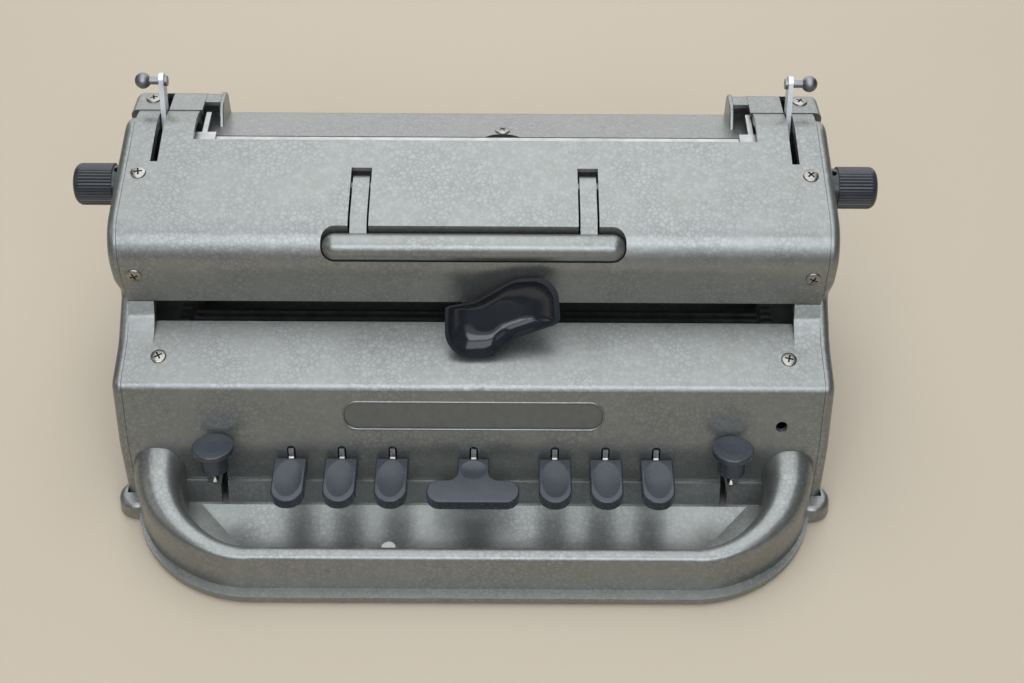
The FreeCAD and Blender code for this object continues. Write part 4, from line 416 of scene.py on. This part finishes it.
def boxMesh(name, low, high):
    work = bmesh.new()
    bmesh.ops.create_cube(work, size=1.0)
    bmesh.ops.scale(work, vec=[b - a for a, b in zip(low, high)], verts=work.verts)
    bmesh.ops.translate(work, vec=[(a + b) / 2 for a, b in zip(low, high)], verts=work.verts)
    return meshFrom(work, name)


def sheetMesh(name, outline, low, high):
    # A plate between two places across the machine, from its outline in depth and height.
    work = bmesh.new()
    sides = []
    for x in (low, high):
        sides.append([work.verts.new(Vector((x, y, z)) * mm) for y, z in outline])
    bridge(work, *sides)
    for side in sides:
        work.faces.new(side)
    return meshFrom(work, name, outward=True)


shell = {
    "weld": 0.002 * mm,  # points of a solid closer than this are one
    "coverSharp": 32,    # edges that turn more than this many degrees stay sharp
    "plateSharp": 20,
    "cheekSharp": 50,
    "flatWeight": 100,
}


def finishShell(piece, angle):
    # Smooth shading that keeps flat sheets flat and real edges sharp.
    piece.data.set_sharp_from_angle(angle=math.radians(angle))
    flatten = piece.modifiers.new("flatSheets", "WEIGHTED_NORMAL")
    flatten.keep_sharp = True
    flatten.weight = shell["flatWeight"]


def reshape(nodeName, pieceName, move):
    # A cover in place of its plain solid, with the points that move() gives other places.
    work = bmesh.new()
    work.from_mesh(nodes[nodeName].data)
    bmesh.ops.remove_doubles(work, verts=work.verts, dist=shell["weld"])
    work.verts.index_update()
    points, moved = [], 0
    for vert in work.verts:
        place = move(*(vert.co / mm))
        points.append(vert.co[:] if place is None else (Vector(place) * mm)[:])
        moved += place is not None
    mesh = bpy.data.meshes.new(pieceName)
    mesh.from_pydata(points, [], [[vert.index for vert in face.verts] for face in work.faces])
    work.free()
    piece = addPiece(pieceName, mesh, enamel, "machine")
    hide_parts(nodeName)
    print("reshaped", nodeName, "points moved:", moved)
    return piece


def unmoved(x, y, z):
    return None


def cutAway(piece, blanks):
    # Takes the blanks' room out of a piece; cut faces keep the blank's material.
    cutters = []
    for i, blank in enumerate(blanks):
        cutter = bpy.data.objects.new("cutter%d" % i, blank)
        scene.collection.objects.link(cutter)
        cutters.append(cutter)
        modifier = piece.modifiers.new("cut%d" % i, "BOOLEAN")
        modifier.object = cutter
        modifier.operation = "DIFFERENCE"
        modifier.solver = "EXACT"
        modifier.material_mode = "TRANSFER"
    bpy.context.view_layer.update()
    graph = bpy.context.evaluated_depsgraph_get()
    piece.data = bpy.data.meshes.new_from_object(piece.evaluated_get(graph))
    piece.modifiers.clear()
    for cutter in cutters:
        bpy.data.objects.remove(cutter)


rest = {
    "bendY": -11.0,
    "bendZ": 78.2,
    "slope": 0.2143,
    "startY": -15.2,
    "lipY": 1.0,
    "chamfer": 0.5,
    "sheet": 2.2,
    "shoulderX": 157.05,
    "below": 5.0,  # the old sheet is cut away from this far under the new one
    "clearY": 4.0,
    "clearZ": 95.0,
}


def restLevel(y):
    return rest["bendZ"] + rest["slope"] * (y - rest["bendY"])


def flattenRest(values):
    # The paper rest runs on flat up to its lip, between the raised shoulders at its ends.
    start, lip, clear, chamfer = (values[key] for key in ("startY", "lipY", "clearY", "chamfer"))
    across = (-values["shoulderX"], values["shoulderX"])
    cover = reshape("lower_front_cover", "lowerFrontCover", unmoved)
    room = [
        (start, restLevel(start) - values["below"]),
        (clear, restLevel(clear) - values["below"]),
        (clear, values["clearZ"]),
        (start, values["clearZ"]),
    ]
    cutAway(cover, [sheetMesh("restRoom", room, *across)])
    finishShell(cover, shell["coverSharp"])
    outline = [
        (start, restLevel(start)),
        (lip - chamfer, restLevel(lip - chamfer)),
        (lip, restLevel(lip) - chamfer),
        (lip, restLevel(lip) - values["sheet"]),
        (start, restLevel(start) - values["sheet"]),
    ]
    mesh = sheetMesh("restPlate", outline, *across)
    plate = addPiece("restPlate", mesh, enamel, "machine")
    finishShell(plate, shell["plateSharp"])


flattenRest(rest)

crown = {
    "centreY": 75.8,     # the solid's own round, which the eased one takes the place of
    "centreZ": 129.54,
    "radius": 14.0,
    "slack": 0.06,
    "startTurn": -10.14,
    "endTurn": 90.0,
    "turnSlack": 0.5,
    "startY": 73.34,
    "startZ": 143.32,
    "slope": 0.1788,
    "endY": 89.8,
    "endZ": 141.0,
}


def easeCrown(x, y, z):
    # The top cover's rear edge falls gently to the ears.
    across, up = y - crown["centreY"], z - crown["centreZ"]
    turn = math.degrees(math.atan2(across, up))
    onRound = abs(math.hypot(across, up) - crown["radius"]) <= crown["slack"]
    if not onRound or not crown["startTurn"] < turn < crown["endTurn"] + crown["turnSlack"]:
        return None
    run = crown["endY"] - crown["startY"]
    along = run * (turn - crown["startTurn"]) / (crown["endTurn"] - crown["startTurn"])
    bend = (crown["startZ"] + crown["slope"] * run - crown["endZ"]) / run ** 2
    return (x, crown["startY"] + along, crown["startZ"] + crown["slope"] * along - bend * along ** 2)


finishShell(reshape("top_cover", "topCover", easeCrown), shell["coverSharp"])

hoods = {
    "inner": 130.5,
    "outer": 138.6,
    "mouthFront": 79.0,
    "mouthRear": 98.4,
    "mouthLow": 137.4,
    "mouthHigh": 150.0,
    "cheek": (128.9, 131.2),
    "cheekOutline": [
        (87.6, 129.6),
        (95.0, 138.2),
        (98.4, 140.0),
        (108.4, 138.8),
        (110.9, 135.6),
        (110.9, 122.6),
    ],
    "edge": 0.7 * mm,
    "edgeSteps": 3,
}


def openHoods(values):
    # The ears' hoods are open in front, over the margin stops' fingers, and closed by a cheek at the side.
    rear = reshape("rear_cover", "rearCover", unmoved)
    mouths = []
    for side, name in ((-1, "leftHoodCheek"), (1, "rightHoodCheek")):
        across = sorted((side * values["inner"], side * values["outer"]))
        low = Vector((across[0], values["mouthFront"], values["mouthLow"])) * mm
        high = Vector((across[1], values["mouthRear"], values["mouthHigh"])) * mm
        mouths.append(boxMesh("mouth", low, high))
        mesh = sheetMesh(name, values["cheekOutline"], *sorted(side * x for x in values["cheek"]))
        plate = addPiece(name, mesh, enamel, "machine")
        rounding = plate.modifiers.new("edge", "BEVEL")
        rounding.width = values["edge"]
        rounding.segments = values["edgeSteps"]
        finishShell(plate, shell["cheekSharp"])
    cutAway(rear, mouths)
    finishShell(rear, shell["coverSharp"])


openHoods(hoods)

screws = {
    "radius": 3.8 * mm,
    "height": 1.15 * mm,
    "rim": 0.25 * mm,
    "sunk": 0.3 * mm,
    "crossLength": 5.0 * mm,
    "crossWidth": 1.15 * mm,
    "crossDepth": 1.5 * mm,
    "crossLift": 0.15 * mm,
    "crossTaper": (0.72, 0.6),
    "steps": 7,
    "sides": 32,
    "sharp": 35,
    "places": [  # place, way up, turn of the cross
        ((-163.5, 3.3, 109.0), (0, -1, 0), 20),
        ((163.5, 3.3, 109.0), (0, -1, 0), 65),
        ((-163.5, 45.0, 138.26), (0, -0.1788, 1), 10),
        ((163.5, 45.0, 138.26), (0, -0.1788, 1), 40),
        ((-153.5, -19.5, 76.38), (0, -0.2143, 1), 30),
        ((153.5, -19.5, 76.38), (0, -0.2143, 1), 75),
        ((-165.0, 100.6, 140.0), (0, 0.1154, 1), 15),
        ((165.0, 100.6, 140.0), (0, 0.1154, 1), 55),
        ((13.3, 85.6, 132.39), (0, 0.2909, 1), 35),
    ],
}


def headProfile(values):
    # Radius and height from the rim of an oval head to its crown.
    profile = [(values["radius"], -values["sunk"]), (values["radius"], values["rim"])]
    for step in range(1, values["steps"]):
        turn = step / values["steps"] * math.pi / 2
        rise = (values["height"] - values["rim"]) * math.sin(turn)
        profile.append((values["radius"] * math.cos(turn), values["rim"] + rise))
    return profile


def headMesh(values):
    work = bmesh.new()
    rings = []
    for radius, height in headProfile(values):
        rings.append(ringOf(work, values["sides"],
                            lambda turn: (radius * math.cos(turn), radius * math.sin(turn), height)))
    for near, far in zip(rings, rings[1:]):
        bridge(work, near, far)
    apex = work.verts.new((0, 0, values["height"]))
    for step in range(values["sides"]):
        work.faces.new((rings[-1][step], rings[-1][(step + 1) % values["sides"]], apex))
    work.faces.new(list(reversed(rings[0])))
    mesh = meshFrom(work, "screwHead")
    mesh.materials.append(screwNickel)
    return mesh


def crossMesh(values, turn):
    # One arm of the crossed recess, narrower at its foot, with painted shade and old dirt on its walls.
    work = bmesh.new()
    bmesh.ops.create_cube(work, size=1.0)
    span = (values["crossLength"], values["crossWidth"], values["crossDepth"] * 2)
    bmesh.ops.scale(work, vec=span, verts=work.verts)
    for vert in work.verts:
        if vert.co.z < 0:
            vert.co.x *= values["crossTaper"][0]
            vert.co.y *= values["crossTaper"][1]
    spin = Matrix.Rotation(math.radians(turn), 3, "Z")
    bmesh.ops.rotate(work, cent=(0, 0, 0), matrix=spin, verts=work.verts)
    bmesh.ops.translate(work, vec=(0, 0, values["height"] + values["crossLift"]), verts=work.verts)
    mesh = meshFrom(work, "screwCross")
    mesh.materials.append(recessShadeAndDirt)
    return mesh


def screwMesh(values):
    # One oval head with a real crossed recess.
    head = bpy.data.objects.new("screwHeadBlank", headMesh(values))
    scene.collection.objects.link(head)
    cutAway(head, [crossMesh(values, turn) for turn in (0, 90)])
    result = head.data
    bpy.data.objects.remove(head)
    return result


def makeScrews(values):
    # All the cover screws in one piece, each set on its own surface and turned its own way.
    pattern = screwMesh(values)
    work = bmesh.new()
    for place, normal, turn in values["places"]:
        before = set(work.verts)
        work.from_mesh(pattern)
        fresh = [vert for vert in work.verts if vert not in before]
        tilt = Vector((0, 0, 1)).rotation_difference(Vector(normal).normalized()).to_matrix()
        spin = Matrix.Rotation(math.radians(turn), 3, "Z")
        matrix = Matrix.Translation(Vector(place) * mm) @ (tilt @ spin).to_4x4()
        bmesh.ops.transform(work, matrix=matrix, verts=fresh)
    mesh = meshFrom(work, "coverScrewHeads")
    piece = addPiece("coverScrewHeads", mesh, screwNickel, "machine")
    # Second slot: the recess walls, near black with painted shade and old dirt.
    piece.data.materials.append(recessShadeAndDirt)
    piece.data.set_sharp_from_angle(angle=math.radians(values["sharp"]))
    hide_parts("cover_screws")


makeScrews(screws)

plateRim = {
    "halfLength": 63.5,
    "low": 50.3,
    "high": 64.6,
    "corner": 6.85,
    "tube": 0.55 * mm,
    "sides": 10,
    "kneeY": -47.0,
    "kneeZ": 39.5,
    "slope": 12.2 / 33.6,
    "facing": (0, -0.94, 0.34),
    "steps": 10,
}


def rimPoints(values):
    # Round the plate's four corners in turn, on the front cover's slope.
    right = values["halfLength"] - values["corner"]
    top = values["high"] - values["corner"]
    bottom = values["low"] + values["corner"]
    points = []
    for x, z, start in ((right, top, 0), (-right, top, 90), (-right, bottom, 180), (right, bottom, 270)):
        for step in range(values["steps"] + 1):
            turn = math.radians(start + 90 * step / values["steps"])
            px = x + values["corner"] * math.cos(turn)
            pz = z + values["corner"] * math.sin(turn)
            py = values["kneeY"] + (pz - values["kneeZ"]) * values["slope"]
            points.append(Vector((px, py, pz)) * mm)
    return points


def makePlateRim(values):
    # A thin raised border round the bare name plate, a tube of round section.
    points = rimPoints(values)
    radius = values["tube"]
    work = bmesh.new()
    rings = []
    for i, point in enumerate(points):
        along = (points[(i + 1) % len(points)] - points[i - 1]).normalized()
        side = along.cross(Vector(values["facing"])).normalized()
        up = side.cross(along).normalized()
        rings.append(ringOf(work, values["sides"],
                            lambda turn: point + radius * (math.cos(turn) * side + math.sin(turn) * up)))
    for i, ring in enumerate(rings):
        bridge(work, ring, rings[(i + 1) % len(rings)])
    mesh = meshFrom(work, "namePlateRim", outward=True)
    addPiece("namePlateRim", mesh, enamel, "machine")


makePlateRim(plateRim)

paperDot = {
    "x": -42.0,
    "y": -80.5,
    "radius": 3.5,
    "lift": 0.12,
    "rimLift": 0.4,
    "troughY": -77.0,
    "troughZ": 39.8,
    "troughRadius": 36.0,
    "rings": 4,
    "sides": 28,
    "fibreScale": 1500.0,
    "tones": [(0.3, (0.62, 0.60, 0.55)), (0.65, (0.80, 0.79, 0.75))],
    "roughness": 0.75,
}


def paperMaterial(values):
    material, tree, shader = newMaterial("paperSpot")
    place = addNode(tree, "ShaderNodeTexCoord")
    fibre = noise(tree, place, "Object", values["fibreScale"], 6.0)
    colours = ramp(tree, fibre, "Fac", values["tones"])
    join(tree, colours, "Color", shader, "Base Color")
    shader.inputs["Roughness"].default_value = values["roughness"]
    return material


def makePaperDot(values):
    # A blank paper spot stuck to the tray, bent to the trough.
    work = bmesh.new()
    rings = []
    for ring in range(1, values["rings"] + 1):
        radius = values["radius"] * ring / values["rings"]
        lift = values["lift"] * (1 if ring < values["rings"] else values["rimLift"])

        def onTrough(turn):
            x = values["x"] + radius * math.cos(turn)
            y = values["y"] + radius * math.sin(turn)
            drop = math.sqrt(values["troughRadius"] ** 2 - (y - values["troughY"]) ** 2)
            return Vector((x, y, values["troughZ"] - drop + lift)) * mm

        rings.append(ringOf(work, values["sides"], onTrough))
    work.faces.new(rings[0])
    for near, far in zip(rings, rings[1:]):
        bridge(work, far, near)
    mesh = meshFrom(work, "paperSpot", outward=True)
    addPiece("paperSpot", mesh, paperMaterial(values), "machine")


makePaperDot(paperDot)

print("stage: detail pieces")


# Stage, light and camera

floor = {"size": 6.0, "cells": 8, "colour": (0.47, 0.40, 0.305), "roughness": 0.55}


def makeFloor(values):
    cells = values["cells"]
    work = bmesh.new()
    bmesh.ops.create_grid(work, x_segments=cells, y_segments=cells, size=values["size"] / 2)
    piece = bpy.data.objects.new("floor", meshFrom(work, "floor"))
    scene.collection.objects.link(piece)
    material, _, shader = newMaterial("paleFloor")
    shader.inputs["Base Color"].default_value = (*values["colour"], 1)
    shader.inputs["Roughness"].default_value = values["roughness"]
    piece.data.materials.append(material)


makeFloor(floor)

lights = {
    "ceiling": {"place": (0.0, 0.45, 1.45), "aim": (0.0, 0.45, 0.0), "size": (1.6, 2.2), "power": 26.5,
                "colour": (0.92, 0.955, 1.0)},
    "backWall": {"place": (0.0, 2.0, 0.85), "aim": (0.0, 0.0, 0.12), "size": (3.4, 1.6), "power": 26.0,
                 "colour": (0.96, 0.98, 1.0)},
    "frontPanel": {"place": (0.0, -1.27, 1.02), "aim": (0.0, 0.0, 0.10), "size": (1.6, 1.40), "power": 6.5,
                   "colour": (0.90, 0.945, 1.0)},
    "window": {"place": (0.0, -1.06, 1.10), "aim": (0.0, 0.0, 0.10), "size": (1.5, 0.72), "power": 11.5,
               "colour": (0.86, 0.925, 1.0)},
    "sideFill": {"place": (-1.4, -0.2, 0.9), "aim": (0.0, 0.0, 0.06), "size": (0.8, 0.8), "power": 1.5,
                 "colour": (1.0, 0.97, 0.93)},
}


def aimAt(piece, target):
    piece.rotation_euler = (Vector(target) - piece.location).to_track_quat("-Z", "Y").to_euler()


for name, values in lights.items():
    lamp = bpy.data.lights.new(name, "AREA")
    lamp.shape = "RECTANGLE"
    lamp.size, lamp.size_y = values["size"]
    lamp.energy = values["power"]
    lamp.color = values["colour"]
    holder = bpy.data.objects.new(name, lamp)
    scene.collection.objects.link(holder)
    holder.location = values["place"]
    aimAt(holder, values["aim"])

ambient = {"colour": (0.90, 0.93, 0.97), "strength": 0.06}
world = bpy.data.worlds.new("studio")
world.use_nodes = True
background = world.node_tree.nodes["Background"]
background.inputs["Color"].default_value = (*ambient["colour"], 1)
background.inputs["Strength"].default_value = ambient["strength"]
scene.world = world

view = {
    "place": (18.6 * mm, -500.4 * mm, 604.0 * mm),
    "down": 47.0,
    "roll": 0.3,
    "lens": 51.54,
    "sensor": 36.0,
    "nearest": 0.01,
}
camera = bpy.data.cameras.new("photoCamera")
camera.lens = view["lens"]
camera.sensor_width = view["sensor"]
camera.clip_start = view["nearest"]
cameraHolder = bpy.data.objects.new("photoCamera", camera)
scene.collection.objects.link(cameraHolder)
cameraHolder.location = view["place"]
tilt = Matrix.Rotation(math.radians(90 - view["down"]), 3, "X")
roll = Matrix.Rotation(math.radians(view["roll"]), 3, "Z")
cameraHolder.rotation_euler = (tilt @ roll).to_euler()
scene.camera = cameraHolder
scene.view_settings.view_transform = "Standard"

print("stage: light and camera")
